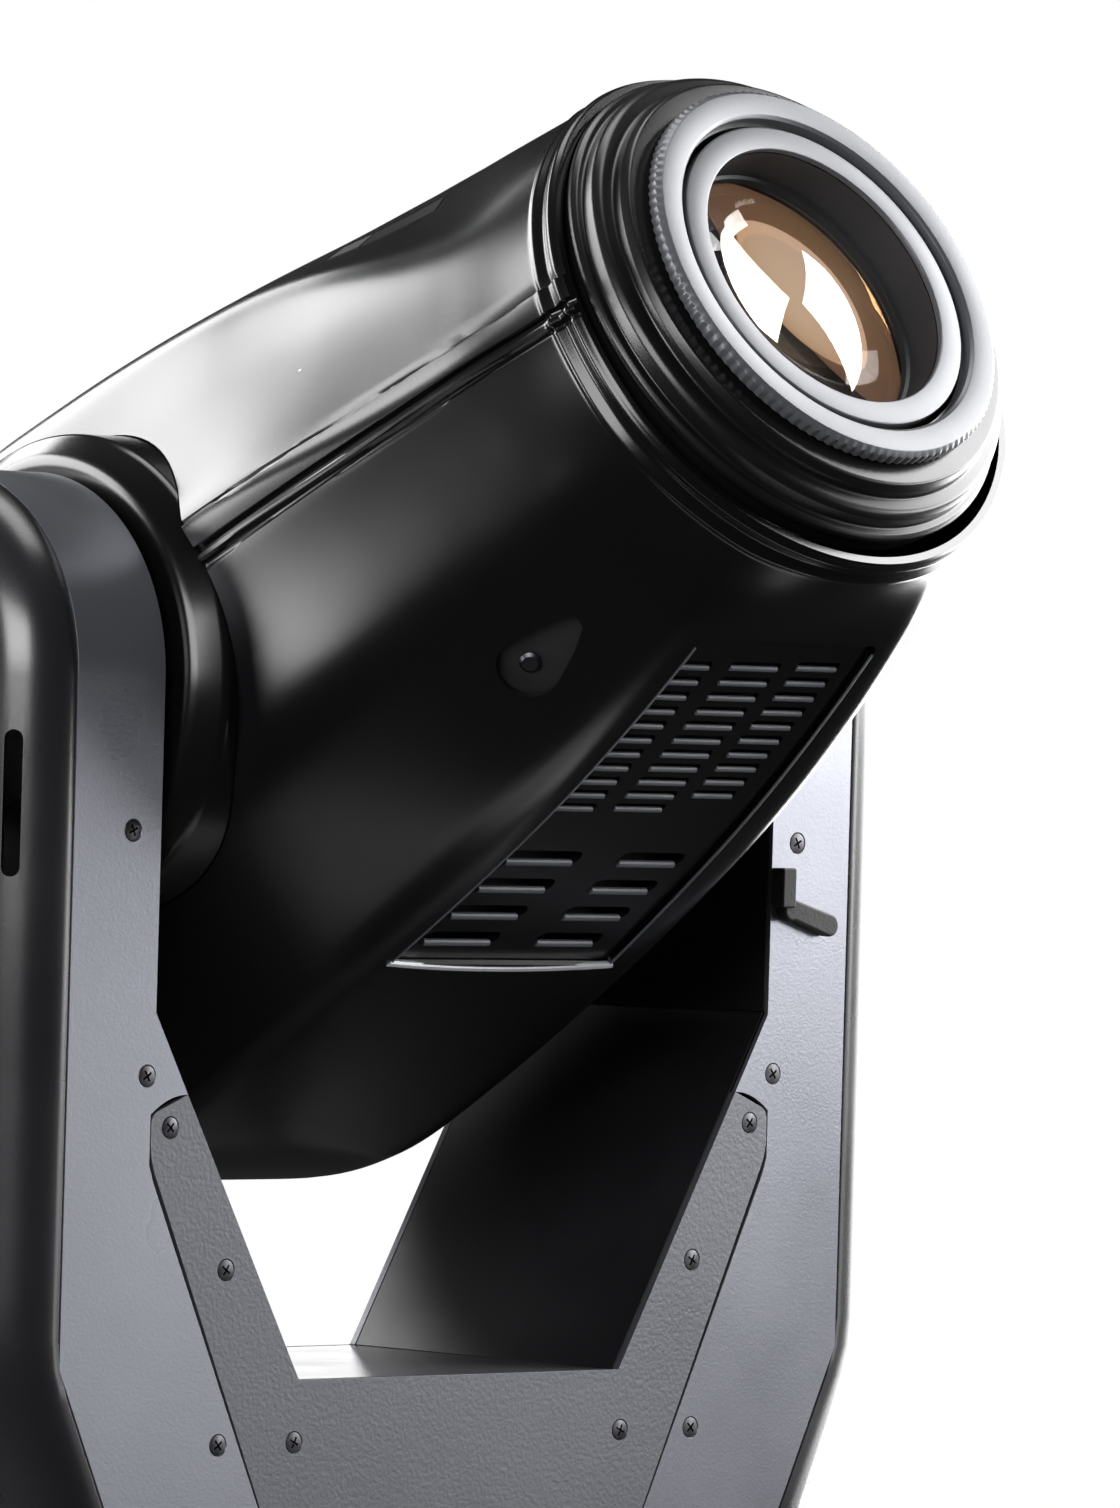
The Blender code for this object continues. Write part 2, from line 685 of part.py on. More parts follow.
def arm_plate(side):
    """Painted sheet of one arm: front plate, round top and rear plate, bent from one strip."""
    outline = arm_outline()
    if side < 0:
        outline = mirrored(outline)
    skin = piece("arm_plate_" + ("left" if side < 0 else "right"),
                 prism(outline, -HALF_DEPTH, -HALF_DEPTH + PLATE, "XZ"), "grey_paint")
    combine(skin, prism(outline, HALF_DEPTH - PLATE, HALF_DEPTH, "XZ"), "UNION")
    arch = arc((0, 0), HALF_DEPTH, 0, 180, 20) + arc((0, 0), HALF_DEPTH - PLATE, 180, 0, 20)
    low, high = sorted((side * ARM_IN, side * ARM_OUT))
    strip = shifted(prism(arch, low, high, "YZ"), 0, 0, -0.00001)
    combine(skin, strip, "UNION")
    return skin


def inner_panel(side):
    """Bent inner panel of one arm: upright cheek, then the slope down to the beam."""
    inner = ARM_IN
    room = HALF_DEPTH - PLATE - FIT
    outline = arc((0, 0), room, 0, 180, 18) + [(-room, -KINK_DROP), (room, -KINK_DROP)]
    low, high = sorted((side * inner, side * (inner + PLATE)))
    cheek = prism(outline, low, high, "YZ")
    made = piece("inner_panel_" + ("left" if side < 0 else "right"), cheek, "black_sheet")
    deep = HALF_DEPTH - GUSSET_PLATE - FIT
    slope = [(inner, -KINK_DROP + 0.002), (inner + PLATE, -KINK_DROP + 0.002),
             (inner + PLATE, -KINK_DROP - 0.0005), (BEAM_HALF + PLATE, -BEAM_DROP),
             (BEAM_HALF, -BEAM_DROP), (inner, -KINK_DROP)]
    if side < 0:
        slope = mirrored(slope)
    combine(made, prism(slope, -deep, deep, "XZ"), "UNION")
    bore = along_x(rod(TRUNNION_RADIUS + RUNNING, -ARM_OUT, ARM_OUT, 32))
    combine(made, bore, "DIFFERENCE")
    return made


def outer_cover(side):
    """Moulded outer cover: a hollow tray with a large round edge, bent in below the taper."""
    start = ARM_OUT + FIT
    inset = COVER_BULGE * 0.9
    levels = [(start, 0.0), (start + COVER_BULGE * 0.55, 0.0035),
              (start + COVER_BULGE * 0.87, 0.011), (COVER_OUT, inset),
              (COVER_OUT - SHELL, inset + 0.001), (start, SHELL)]
    shape = bmesh.new()
    rings = []
    for x, inward in levels:
        ring = []
        for y, z in cover_outline(inward):
            ring.append(shape.verts.new((side * (x - taper(z)), y, z)))
        rings.append(ring)
    count = len(rings[0])
    for first, second in zip(rings, rings[1:] + rings[:1]):
        if first is rings[3]:
            continue
        for i in range(count):
            j = (i + 1) % count
            shape.faces.new((first[i], first[j], second[j], second[i]))
    for ring in (rings[3], rings[4]):
        shape.faces.new(ring[:-3] + ring[-1:])
        shape.faces.new(ring[-4:])
    return shape


def taper(height):
    """How far the outer side has drawn in at a height below the tilt axis."""
    below = max(0.0, -TAPER_DROP - height)
    return below * (ARM_OUT - YOKE_FOOT_HALF) / (YOKE_DROP - TAPER_DROP)


def cover_outline(inward):
    """Side view of the cover: round top, bend at the taper, foot above the yoke's foot."""
    radius = HALF_DEPTH - inward
    foot = -YOKE_DROP + 0.002 + inward
    return arc((0, 0), radius, 0, 180, 16) + [
        (-radius, -TAPER_DROP), (-radius, foot), (radius, foot), (radius, -TAPER_DROP)]


def tilt_drive(yoke):
    """Bearings in both arms, and the motor, pulley and belt in the left arm."""
    for name, side in SIDES:
        start = bearing_start()
        ring = tube(TRUNNION_RADIUS + RUNNING, BEARING_RADIUS, start, start + BEARING_WIDTH)
        turn = Matrix.Rotation(side * pi / 2, 4, "Y")
        piece(f"tilt_bearing_{name}", moved(ring, turn), "steel", parent=yoke)
    level = bearing_start() + BEARING_WIDTH + 0.003 + FIT
    centre = -TILT_MOTOR_DROP
    # The body stands inside the arm, against the inner panel, with its shaft pointing outwards.
    case = box((-0.021, -0.021, 0), (0.021, 0.021, 0.0135))
    case = moved(case, Matrix.Translation((0, 0, centre)) @ Matrix.Rotation(-pi / 2, 4, "Y"))
    piece("tilt_motor", shifted(case, -ARM_IN - PLATE - 2 * FIT, 0, 0), "black_sheet", parent=yoke)
    pulley = rod(MOTOR_PULLEY_RADIUS, 0, BELT_WIDTH, 20)
    piece("tilt_motor_pulley", moved(pulley, Matrix.Rotation(-pi / 2, 4, "Y")), "aluminium",
          place=(-level, 0, centre), parent=yoke)
    belt = belt_loop(TILT_PULLEY_RADIUS, MOTOR_PULLEY_RADIUS, TILT_MOTOR_DROP, BELT_WIDTH - 0.001)
    # The belt's own X is its run between centres, which points down here.
    stand = Matrix(((0, 0, -1, -level), (0, 1, 0, 0), (-1, 0, 0, 0), (0, 0, 0, 1)))
    piece("tilt_belt", moved(belt, stand), "rubber", parent=yoke)


def belt_loop(large, small, span, width):
    """An open belt round two pulleys: the large one at the origin, the small one at +X."""
    rings = []
    steps = 18
    for offset in (FIT + BELT_THICK, FIT):
        lean = degrees(asin((large - small) / span))
        start = 90 - lean
        # The flats of the belt's polygon, not its corners, clear the turning pulley.
        flat = cos(radians((180 + 2 * lean) / steps / 2))
        big = (large + offset) / flat
        little = (small + offset) / flat
        outline = arc((0, 0), big, start, 360 - start, steps)
        outline += arc((span, 0), little, -start, start, steps // 2)
        rings.append(outline)
    shape = bmesh.new()
    loops = []
    for outline in rings:
        for level in (0.0, width):
            loops.append([shape.verts.new((x, y, level)) for x, y in outline])
    outer_low, outer_high, inner_low, inner_high = loops
    count = len(outer_low)
    order = (outer_low, outer_high, inner_high, inner_low)
    for first, second in zip(order, order[1:] + order[:1]):
        for i in range(count):
            j = (i + 1) % count
            shape.faces.new((first[i], first[j], second[j], second[i]))
    return shape


def tilt_lock(yoke):
    """Latch on the right arm's front plate: a short lever with a round end."""
    outline = arc((0, 0), 0.0045, 70, 290, 10) + arc((0.022, -0.006), 0.0045, -100, 70, 8)
    lever = prism(outline, 0, 0.006, "XZ")
    piece("tilt_lock_lever", shifted(lever, 0, -0.006 - FIT, 0), "black_plastic",
          place=(ARM_IN + 0.0065, -HALF_DEPTH, -0.084), parent=yoke)


def beam(yoke):
    """Beam top between the slopes, and the floor plate that carries the pan shaft."""
    deep = HALF_DEPTH - GUSSET_PLATE - FIT
    top = box((-BEAM_HALF + FIT, -deep, -BEAM_DROP - PLATE), (BEAM_HALF - FIT, deep, -BEAM_DROP))
    piece("beam_top", top, "black_sheet", parent=yoke)
    half = GUSSET_FOOT_HALF + (YOKE_FOOT_HALF - GUSSET_FOOT_HALF) * 0.9
    thick = 0.006
    floor = box((-half, -deep, -YOKE_DROP), (half, deep, -YOKE_DROP + thick))
    piece("yoke_floor", floor, "aluminium", parent=yoke)
    shaft_top = -YOKE_DROP - FIT
    deep_in = -YOKE_DROP - PAN_GAP
    pulley = deep_in - PAN_PULLEY_DEPTH
    outline = [
        (0, shaft_top), (0, pulley - BELT_WIDTH - 0.003),
        (PAN_PULLEY_RADIUS, pulley - BELT_WIDTH - 0.003), (PAN_PULLEY_RADIUS, pulley - 0.001),
        (PAN_SHAFT_RADIUS, pulley - 0.001), (PAN_SHAFT_RADIUS, deep_in + 0.001),
        (PAN_SHAFT_RADIUS + 0.030, deep_in + 0.0035), (PAN_SHAFT_RADIUS + 0.030, shaft_top),
    ]
    piece("pan_shaft", turned(outline, 28), "aluminium", parent=yoke)


def build_yoke():
    yoke = empty("yoke_axis", (0, 0, AXIS_HEIGHT))
    gusset_plates(yoke)
    for name, side in SIDES:
        arm_plate(side).parent = yoke
        inner_panel(side).parent = yoke
        piece(f"outer_cover_{name}", outer_cover(side), "black_plastic", parent=yoke)
    tilt_drive(yoke)
    tilt_lock(yoke)
    beam(yoke)


# ---------------------------------------------------------------- base

BASE_WALL = 0.003
FOOT_HEIGHT = 0.012
BASE_PLATE = 0.004
MOUNT_PAD = 0.001            # how far the bracket face stands out under the base plate
MOUNT_PAD_HALF_X = 0.120
MOUNT_PAD_HALF_Y = 0.090
PAN_PULLEY_DEPTH = 0.032     # below the base's top
BUTTON = 0.010


def base_outline(inset=0.0, cut=0.035):
    half_x = BASE_WIDTH / 2 - inset
    half_y = BASE_DEPTH / 2 - inset
    c = cut - inset * 0.4
    corner = [(half_x, half_y - c), (half_x - c, half_y)]
    left = [(-x, y) for x, y in reversed(corner)]
    back = corner + left
    return back + [(x, -y) for x, y in reversed(back)]


def base_housing():
    low = BASE_PLATE + FIT
    outer = prism(base_outline(), low, BASE_HEIGHT)
    hollow = prism(base_outline(BASE_WALL), low - 0.01, BASE_HEIGHT - BASE_WALL)
    opening = rod(PAN_SHAFT_RADIUS + 0.016, BASE_HEIGHT - 0.02, BASE_HEIGHT + 0.02, 40)
    panel = box((-DISPLAY_HALF - FIT, -BASE_DEPTH, DISPLAY_LOW - FIT),
                (DISPLAY_HALF + FIT, 0, DISPLAY_HIGH + FIT))
    rear = box((-REAR_HALF - FIT, 0, REAR_LOW - FIT), (REAR_HALF + FIT, BASE_DEPTH, REAR_HIGH + FIT))
    vents = []
    for side in (-1, 1):
        for k in range(6):
            y = -0.075 + 0.011 * k
            x = side * BASE_WIDTH / 2
            vents.append(box((x - 0.01, y, 0.022), (x + 0.01, y + 0.0055, 0.050)))
    return piece("base_housing", outer, "black_plastic",
                 cuts=[hollow, opening, panel, rear, joined(vents)])


DISPLAY_HALF = 0.115
DISPLAY_LOW = 0.040
DISPLAY_HIGH = 0.115
REAR_HALF = 0.120
REAR_LOW = 0.030
REAR_HIGH = 0.110


def display(base_front):
    """Control panel on the front with its screen window and four menu buttons."""
    panel = box((-DISPLAY_HALF, base_front, DISPLAY_LOW),
                (DISPLAY_HALF, base_front + BASE_WALL, DISPLAY_HIGH))
    window = box((-0.095, base_front - 0.01, 0.056), (-0.005, base_front + 0.0012, 0.100))
    bores = []
    for x, z in button_places():
        reach = BUTTON / 2 + RUNNING
        bores.append(box((x - reach, base_front - 0.01, z - reach),
                         (x + reach, base_front + 0.01, z + reach)))
    piece("display_panel", panel, "display_blue", cuts=[window, joined(bores)])
    for k, (x, z) in enumerate(button_places()):
        half = BUTTON / 2
        cap = box((-half, -0.0025, -half), (half, BASE_WALL + 0.001, half))
        piece(f"menu_button_{k + 1}", cap, "rubber", place=(x, base_front, z))


def button_places():
    return [(0.055 + dx, 0.078 + dz) for dx, dz in ((-0.022, 0), (0.022, 0), (0, -0.018), (0, 0.018))]


def rear_connectors(back):
    """Rear panel with the power inlet, the rocker switch and two data sockets."""
    panel = box((-REAR_HALF, back - BASE_WALL, REAR_LOW), (REAR_HALF, back, REAR_HIGH))
    switch_x = 0.020
    middle = (REAR_LOW + REAR_HIGH) / 2
    cuts = [box((0.060, back - 0.02, middle - 0.013), (0.090, back + 0.02, middle + 0.013)),
            box((switch_x - 0.011, back - 0.02, middle - 0.008),
                (switch_x + 0.011, back + 0.02, middle + 0.008))]
    for x in (-0.085, -0.045):
        bore = rod(0.0125, -0.02, 0.02, 24)
        cuts.append(moved(bore, Matrix.Translation((x, back, middle)) @ Matrix.Rotation(pi / 2, 4, "X")))
    piece("rear_panel", panel, "black_sheet", cuts=cuts)
    inlet = box((0.060 + FIT, back - 0.020, middle - 0.013 + FIT),
                (0.090 - FIT, back + 0.003, middle + 0.013 - FIT))
    mouth = box((0.064, back - 0.014, middle - 0.009), (0.086, back + 0.01, middle + 0.009))
    piece("power_inlet", inlet, "black_plastic", cuts=[mouth])
    rocker = [(-0.0066, 0.0), (-0.0070, 0.0035), (0.0, 0.0015), (0.0070, 0.0020), (0.0066, 0.0),
              (0.0040, -0.006), (-0.0040, -0.006)]
    shape = prism([(y, z) for z, y in rocker], -0.010, 0.010, "YZ")
    piece("power_switch", shape, "black_plastic", place=(switch_x, back - 0.0005, middle))
    for name, x in (("data_socket_in", -0.085), ("data_socket_out", -0.045)):
        shell = turned([(0.0095, 0.003), (0.0095, -0.012), (0.0, -0.012), (0.0, -0.016),
                        (0.0125 - FIT, -0.016), (0.0125 - FIT, 0.003)], 24)
        turn = Matrix.Rotation(-pi / 2, 4, "X")
        piece(name, moved(shell, turn), "steel", place=(x, back, middle))


def carry_handle(name, side):
    """Strap handle on the base's side: a rectangular loop with a grip 30 mm clear of the wall."""
    outer = [(-0.070, 0.0), (-0.058, 0.034), (0.058, 0.034), (0.070, 0.0)]
    inner = [(0.052, 0.0), (0.046, 0.022), (-0.046, 0.022), (-0.052, 0.0)]
    outline = [(side * (BASE_WIDTH / 2 + FIT + b), a) for a, b in outer + inner]
    piece(name, prism(outline, 0.092, 0.116), "rubber")


def pan_drive():
    """Pan bearing under the base's top, and the motor, pulley and belt inside."""
    top = BASE_HEIGHT - BASE_WALL - FIT
    ring = tube(PAN_SHAFT_RADIUS + RUNNING, PAN_SHAFT_RADIUS + 0.022, top - 0.022, top)
    piece("pan_bearing", ring, "steel")
    level = BASE_HEIGHT - PAN_PULLEY_DEPTH - BELT_WIDTH - 0.002
    piece("pan_motor_pulley", rod(MOTOR_PULLEY_RADIUS, 0, BELT_WIDTH, 20), "aluminium",
          place=(-PAN_MOTOR_OFFSET, 0, level))
    belt = belt_loop(PAN_PULLEY_RADIUS, MOTOR_PULLEY_RADIUS, PAN_MOTOR_OFFSET, BELT_WIDTH - 0.001)
    piece("pan_belt", moved(belt, Matrix.Translation((0, 0, level)) @ Matrix.Rotation(pi, 4, "Z")),
          "rubber")
    low = level - FIT - 0.060
    motor = box((-PAN_MOTOR_OFFSET - 0.03, -0.03, low), (-PAN_MOTOR_OFFSET + 0.03, 0.03, low + 0.060))
    piece("pan_motor", motor, "black_sheet")


def build_base():
    plate = piece("base_plate", prism(base_outline(), MOUNT_PAD, BASE_PLATE), "black_sheet")
    half_x, half_y = MOUNT_PAD_HALF_X, MOUNT_PAD_HALF_Y
    combine(plate, box((-half_x, -half_y, 0), (half_x, half_y, BASE_PLATE / 2)), "UNION")
    base_housing()
    for k, (x, y) in enumerate(((-1, -1), (1, -1), (-1, 1), (1, 1))):
        top = MOUNT_PAD - FIT
        foot = turned([(0, top), (0.020, top), (0.017, -FOOT_HEIGHT), (0, -FOOT_HEIGHT)], 24)
        piece(f"foot_{k + 1}", foot, "rubber",
              place=(x * (BASE_WIDTH / 2 - 0.045), y * (BASE_DEPTH / 2 - 0.045), 0))
    for name, side in SIDES:
        carry_handle(f"carry_handle_{name}", side)
    display(-BASE_DEPTH / 2)
    rear_connectors(BASE_DEPTH / 2)
    pan_drive()
    fan("base_fan", 0.036, (0.125, 0.02, 0.040), None)


clear_scene()
build_base()
build_yoke()
build_head()
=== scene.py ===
"""Looks of the moving head light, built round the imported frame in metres.

The head's pieces are modelled in the head's own coordinates: +Z along the light beam from the
tilt axis and -Y on the underside. The yoke's pieces are modelled round the tilt axis.
"""
from math import atan2, cos, degrees, exp, hypot, log, pi, radians, sin, sqrt, tan

import bmesh
import bpy
from mathutils import Matrix, Vector
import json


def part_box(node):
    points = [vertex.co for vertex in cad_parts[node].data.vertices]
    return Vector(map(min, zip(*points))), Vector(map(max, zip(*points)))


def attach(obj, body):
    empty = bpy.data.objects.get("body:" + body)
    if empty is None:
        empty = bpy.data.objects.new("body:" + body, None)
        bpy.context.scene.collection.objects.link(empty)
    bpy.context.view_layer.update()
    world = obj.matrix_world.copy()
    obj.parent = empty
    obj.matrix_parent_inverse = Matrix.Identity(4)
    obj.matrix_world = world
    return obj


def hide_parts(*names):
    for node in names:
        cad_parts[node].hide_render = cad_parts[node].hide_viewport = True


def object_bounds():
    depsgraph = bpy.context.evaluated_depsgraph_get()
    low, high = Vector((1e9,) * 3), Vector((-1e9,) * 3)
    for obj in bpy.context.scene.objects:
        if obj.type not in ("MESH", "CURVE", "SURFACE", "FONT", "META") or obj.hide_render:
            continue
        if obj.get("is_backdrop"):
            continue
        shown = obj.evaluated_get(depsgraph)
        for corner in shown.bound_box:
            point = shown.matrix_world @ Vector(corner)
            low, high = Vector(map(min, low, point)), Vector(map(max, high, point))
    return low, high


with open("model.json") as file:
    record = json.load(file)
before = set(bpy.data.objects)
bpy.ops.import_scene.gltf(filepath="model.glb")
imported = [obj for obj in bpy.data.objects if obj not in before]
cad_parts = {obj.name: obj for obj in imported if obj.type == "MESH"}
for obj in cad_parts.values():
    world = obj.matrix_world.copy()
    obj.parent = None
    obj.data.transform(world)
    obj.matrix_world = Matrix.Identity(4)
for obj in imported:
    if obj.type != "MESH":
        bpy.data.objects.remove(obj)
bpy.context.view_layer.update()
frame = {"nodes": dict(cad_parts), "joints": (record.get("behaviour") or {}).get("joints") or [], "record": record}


# ---------------------------------------------------------------- sizes from the frame

JOINTS = {joint["name"]: joint for joint in frame["joints"]}
AXIS = Vector(JOINTS["tilt"]["pos_m"])
TILT_STOP = 130.0                                   # degrees from upright to the tilt stop
TILT = radians(TILT_STOP - JOINTS["tilt"]["range_deg"][1])
HEAD = Matrix.Translation(AXIS) @ Matrix.Rotation(TILT, 4, "X")
YOKE = Matrix.Translation(AXIS)
HERE = Matrix.Identity(4)     # for shapes already given in world coordinates

HEAD_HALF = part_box("pivot_boss_right")[1].x
ARM_IN = HEAD_HALF + 0.006
ARM_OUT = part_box("arm_plate_right")[1].x
COVER_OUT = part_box("outer_cover_right")[1].x
HALF_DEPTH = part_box("arm_plate_right")[1].y
YOKE_DROP = AXIS.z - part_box("arm_plate_right")[0].z
BEAM_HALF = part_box("beam_top")[1].x + 0.0003
BEAM_DROP = AXIS.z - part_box("beam_top")[1].z
KINK_DROP = 0.126
TAPER_DROP = 0.260
FOOT_HALF = 0.1545
GUSSET_HALF = 0.1645
GUSSET_TOP = 0.157
GUSSET_FOOT = 0.077
WEDGE = (ARM_IN - BEAM_HALF) / (BEAM_DROP - KINK_DROP)
PLATE = 0.002
SHELL = 0.003

HEAD_FRONT = 0.3057
HEAD_REAR = 0.222
SHELL_FRONT = HEAD_FRONT - 0.028
SHELL_REAR = -HEAD_REAR + 0.017
LENS_SEAT = 0.276
LIP_BORE = 0.056
LIP_RADIUS = 0.066
TRIM_RADIUS = 0.0812
BOSS_RADIUS = 0.094


# ---------------------------------------------------------------- materials

def new_material(name):
    made = bpy.data.materials.new(name)
    made.use_nodes = True
    tree = made.node_tree
    return made, tree, tree.nodes["Principled BSDF"]


def noise(tree, scale, detail=3.0):
    place = tree.nodes.new("ShaderNodeTexCoord")
    texture = tree.nodes.new("ShaderNodeTexNoise")
    texture.inputs["Scale"].default_value = scale
    texture.inputs["Detail"].default_value = detail
    tree.links.new(place.outputs["Object"], texture.inputs["Vector"])
    return texture.outputs["Fac"]


def spread(tree, factor, low, high):
    """Map a 0 to 1 factor to the range low to high."""
    step = tree.nodes.new("ShaderNodeMapRange")
    step.inputs["From Min"].default_value = 0.3
    step.inputs["From Max"].default_value = 0.7
    step.inputs["To Min"].default_value = low
    step.inputs["To Max"].default_value = high
    tree.links.new(factor, step.inputs["Value"])
    return step.outputs["Result"]


def tint(tree, factor, first, second):
    mix = tree.nodes.new("ShaderNodeMix")
    mix.data_type = "RGBA"
    mix.inputs["A"].default_value = (*first, 1)
    mix.inputs["B"].default_value = (*second, 1)
    tree.links.new(factor, mix.inputs["Factor"])
    return mix.outputs["Result"]


def bump(tree, shader, height, strength, distance):
    step = tree.nodes.new("ShaderNodeBump")
    step.inputs["Strength"].default_value = strength
    step.inputs["Distance"].default_value = distance
    tree.links.new(height, step.inputs["Height"])
    tree.links.new(step.outputs["Normal"], shader.inputs["Normal"])


def surface(name, dark, light, rough, grain=900.0, relief=0.1, metallic=0.0, coat=0.0,
            patch=14.0, specular=0.5):
    """A painted, moulded or machined finish: mottled colour, uneven gloss and a fine grain."""
    made, tree, shader = new_material(name)
    fine = noise(tree, grain, 2.0)
    broad = noise(tree, patch, 4.0)
    tree.links.new(tint(tree, broad, dark, light), shader.inputs["Base Color"])
    tree.links.new(spread(tree, broad, rough[0], rough[1]), shader.inputs["Roughness"])
    bump(tree, shader, fine, relief, 0.0004)
    shader.inputs["Metallic"].default_value = metallic
    shader.inputs["Coat Weight"].default_value = coat
    shader.inputs["Coat Roughness"].default_value = 0.25
    shader.inputs["Specular IOR Level"].default_value = specular
    return made


def brushed(name, dark, light, rough, stretch):
    """Turned or brushed metal: noise drawn out along one axis."""
    made, tree, shader = new_material(name)
    place = tree.nodes.new("ShaderNodeTexCoord")
    scale = tree.nodes.new("ShaderNodeMapping")
    scale.inputs["Scale"].default_value = stretch
    texture = tree.nodes.new("ShaderNodeTexNoise")
    texture.inputs["Scale"].default_value = 60.0
    texture.inputs["Detail"].default_value = 4.0
    tree.links.new(place.outputs["Object"], scale.inputs["Vector"])
    tree.links.new(scale.outputs["Vector"], texture.inputs["Vector"])
    fac = texture.outputs["Fac"]
    tree.links.new(tint(tree, fac, dark, light), shader.inputs["Base Color"])
    tree.links.new(spread(tree, fac, rough[0], rough[1]), shader.inputs["Roughness"])
    bump(tree, shader, fac, 0.08, 0.0002)
    shader.inputs["Metallic"].default_value = 1.0
    return made


def clear_glass(name):
    """Front lens: clear crown glass with a thin warm and violet coating."""
    made, tree, shader = new_material(name)
    facing = tree.nodes.new("ShaderNodeLayerWeight")
    facing.inputs["Blend"].default_value = 0.35
    colour = tint(tree, facing.outputs["Facing"], (1.0, 0.93, 0.80), (0.86, 0.80, 1.0))
    tree.links.new(colour, shader.inputs["Base Color"])
    tree.links.new(spread(tree, noise(tree, 30.0), 0.01, 0.03), shader.inputs["Roughness"])
    shader.inputs["Transmission Weight"].default_value = 1.0
    shader.inputs["IOR"].default_value = 1.52
    shader.inputs["Coat Weight"].default_value = 1.0
    shader.inputs["Coat Roughness"].default_value = 0.01
    return made


def coated_optic(name, inner, outer, painted_glow=0.0):
    """Inner lens group: warm coating that turns to amber and violet at its edge. Its emission is painted light,
    glowing though it is no lamp.
    """
    made, tree, shader = new_material(name)
    facing = tree.nodes.new("ShaderNodeLayerWeight")
    facing.inputs["Blend"].default_value = 0.45
    colour = tint(tree, facing.outputs["Facing"], inner, outer)
    tree.links.new(colour, shader.inputs["Base Color"])
    tree.links.new(spread(tree, noise(tree, 25.0), 0.03, 0.08), shader.inputs["Roughness"])
    shader.inputs["Metallic"].default_value = 0.9
    tree.links.new(colour, shader.inputs["Emission Color"])
    shader.inputs["Emission Strength"].default_value = painted_glow
    return made


MATERIALS = {
    "head": surface("satin_black_plastic", (0.0024, 0.0024, 0.0028), (0.0036, 0.0036, 0.0042),
                    (0.19, 0.25), 1500.0, 0.035, patch=9.0, specular=0.55),
    # Light grey that paints highlights on the vent's louvre lips and edge beads.
    "louvre": surface("louvre_lip_painted_highlight", (0.10, 0.104, 0.12), (0.13, 0.134, 0.15), (0.30, 0.38),
                      1300.0, 0.05),
    # Light grey that paints a highlight on the vent's rear rim.
    "bright": surface("painted_highlight_rim", (0.42, 0.43, 0.46), (0.52, 0.53, 0.56), (0.24, 0.32),
                      1300.0, 0.04),
    "nose": surface("nose_plastic", (0.004, 0.004, 0.0045), (0.007, 0.007, 0.0075),
                    (0.26, 0.34), 1300.0, 0.06),
    "cover": surface("cover_plastic", (0.012, 0.012, 0.014), (0.017, 0.017, 0.020),
                     (0.24, 0.31), 1200.0, 0.06, specular=0.85),
    "paint": surface("grey_paint", (0.165, 0.17, 0.195), (0.20, 0.205, 0.23),
                     (0.27, 0.34), 1000.0, 0.12, metallic=0.6),
    "gusset": surface("textured_grey_paint", (0.095, 0.098, 0.112), (0.125, 0.128, 0.142),
                      (0.36, 0.44), 620.0, 0.34, metallic=0.5),
    "beam": surface("beam_paint", (0.10, 0.10, 0.11), (0.13, 0.13, 0.14), (0.16, 0.22),
                    1000.0, 0.05, metallic=0.3),
    "sheet": surface("black_sheet", (0.006, 0.006, 0.007), (0.010, 0.010, 0.012),
                     (0.38, 0.5), 900.0, 0.12),
    "trim": surface("silver_trim", (0.105, 0.108, 0.12), (0.135, 0.138, 0.15),
                    (0.28, 0.36), 1400.0, 0.06, metallic=0.25),
    "groove": surface("groove_black", (0.008, 0.008, 0.009), (0.012, 0.012, 0.013),
                      (0.5, 0.6), 900.0, 0.1),
    "cone": surface("cone_grey", (0.020, 0.021, 0.025), (0.028, 0.029, 0.034),
                    (0.40, 0.50), 1200.0, 0.08),
    "rubber": surface("matt_rubber", (0.012, 0.012, 0.012), (0.02, 0.02, 0.02),
                      (0.62, 0.78), 700.0, 0.3),
    "base": surface("base_black", (0.012, 0.012, 0.014), (0.02, 0.02, 0.022),
                    (0.42, 0.54), 800.0, 0.25),
    "screw": brushed("screw_steel", (0.05, 0.05, 0.055), (0.10, 0.10, 0.11), (0.3, 0.45),
                     (1, 1, 1)),
    "steel": brushed("steel", (0.42, 0.42, 0.44), (0.58, 0.58, 0.60), (0.25, 0.4), (1, 1, 6)),
    "aluminium": brushed("aluminium", (0.55, 0.55, 0.57), (0.68, 0.68, 0.70), (0.28, 0.42),
                         (6, 1, 1)),
    "panel": surface("panel_face", (0.015, 0.02, 0.03), (0.02, 0.026, 0.036), (0.3, 0.4),
                     900.0, 0.08),
    "screen": surface("screen_glass", (0.006, 0.010, 0.020), (0.010, 0.016, 0.030),
                      (0.06, 0.12), 300.0, 0.01, coat=1.0),
    "marks": surface("light_marks", (0.50, 0.50, 0.52), (0.60, 0.60, 0.62), (0.4, 0.5)),
    "lens": clear_glass("lens_glass"),
    # The two inner optic materials emit warm light: painted light in a lens group that holds no lamp.
    "optic": coated_optic("painted_glow_optic", (1.0, 0.93, 0.84), (0.62, 0.38, 0.20), 0.85),
    "optic_rim": coated_optic("painted_glow_optic_rim", (0.66, 0.40, 0.20), (0.30, 0.12, 0.18), 0.30),
    "filter": coated_optic("filter_glass", (0.35, 0.55, 0.9), (0.8, 0.3, 0.5)),
}
NODE_LOOKS = {
    "sheet": ("pan_motor", "tilt_motor", "dimmer_blade_left", "dimmer_blade_right"),
    "steel": ("pan_bearing", "tilt_bearing_left", "tilt_bearing_right", "gobo_wheel"),
    "aluminium": ("yoke_floor", "pan_shaft", "pan_motor_pulley", "tilt_motor_pulley",
                  "tilt_hub_left", "tilt_hub_right", "head_chassis", "lamp_module",
                  "zoom_carriage", "focus_carriage"),
    "filter": ("colour_wheel",),
    "rubber": ("pan_belt", "tilt_belt"),
    "base": ("base_fan", "head_fan"),
}


# ---------------------------------------------------------------- mesh tools

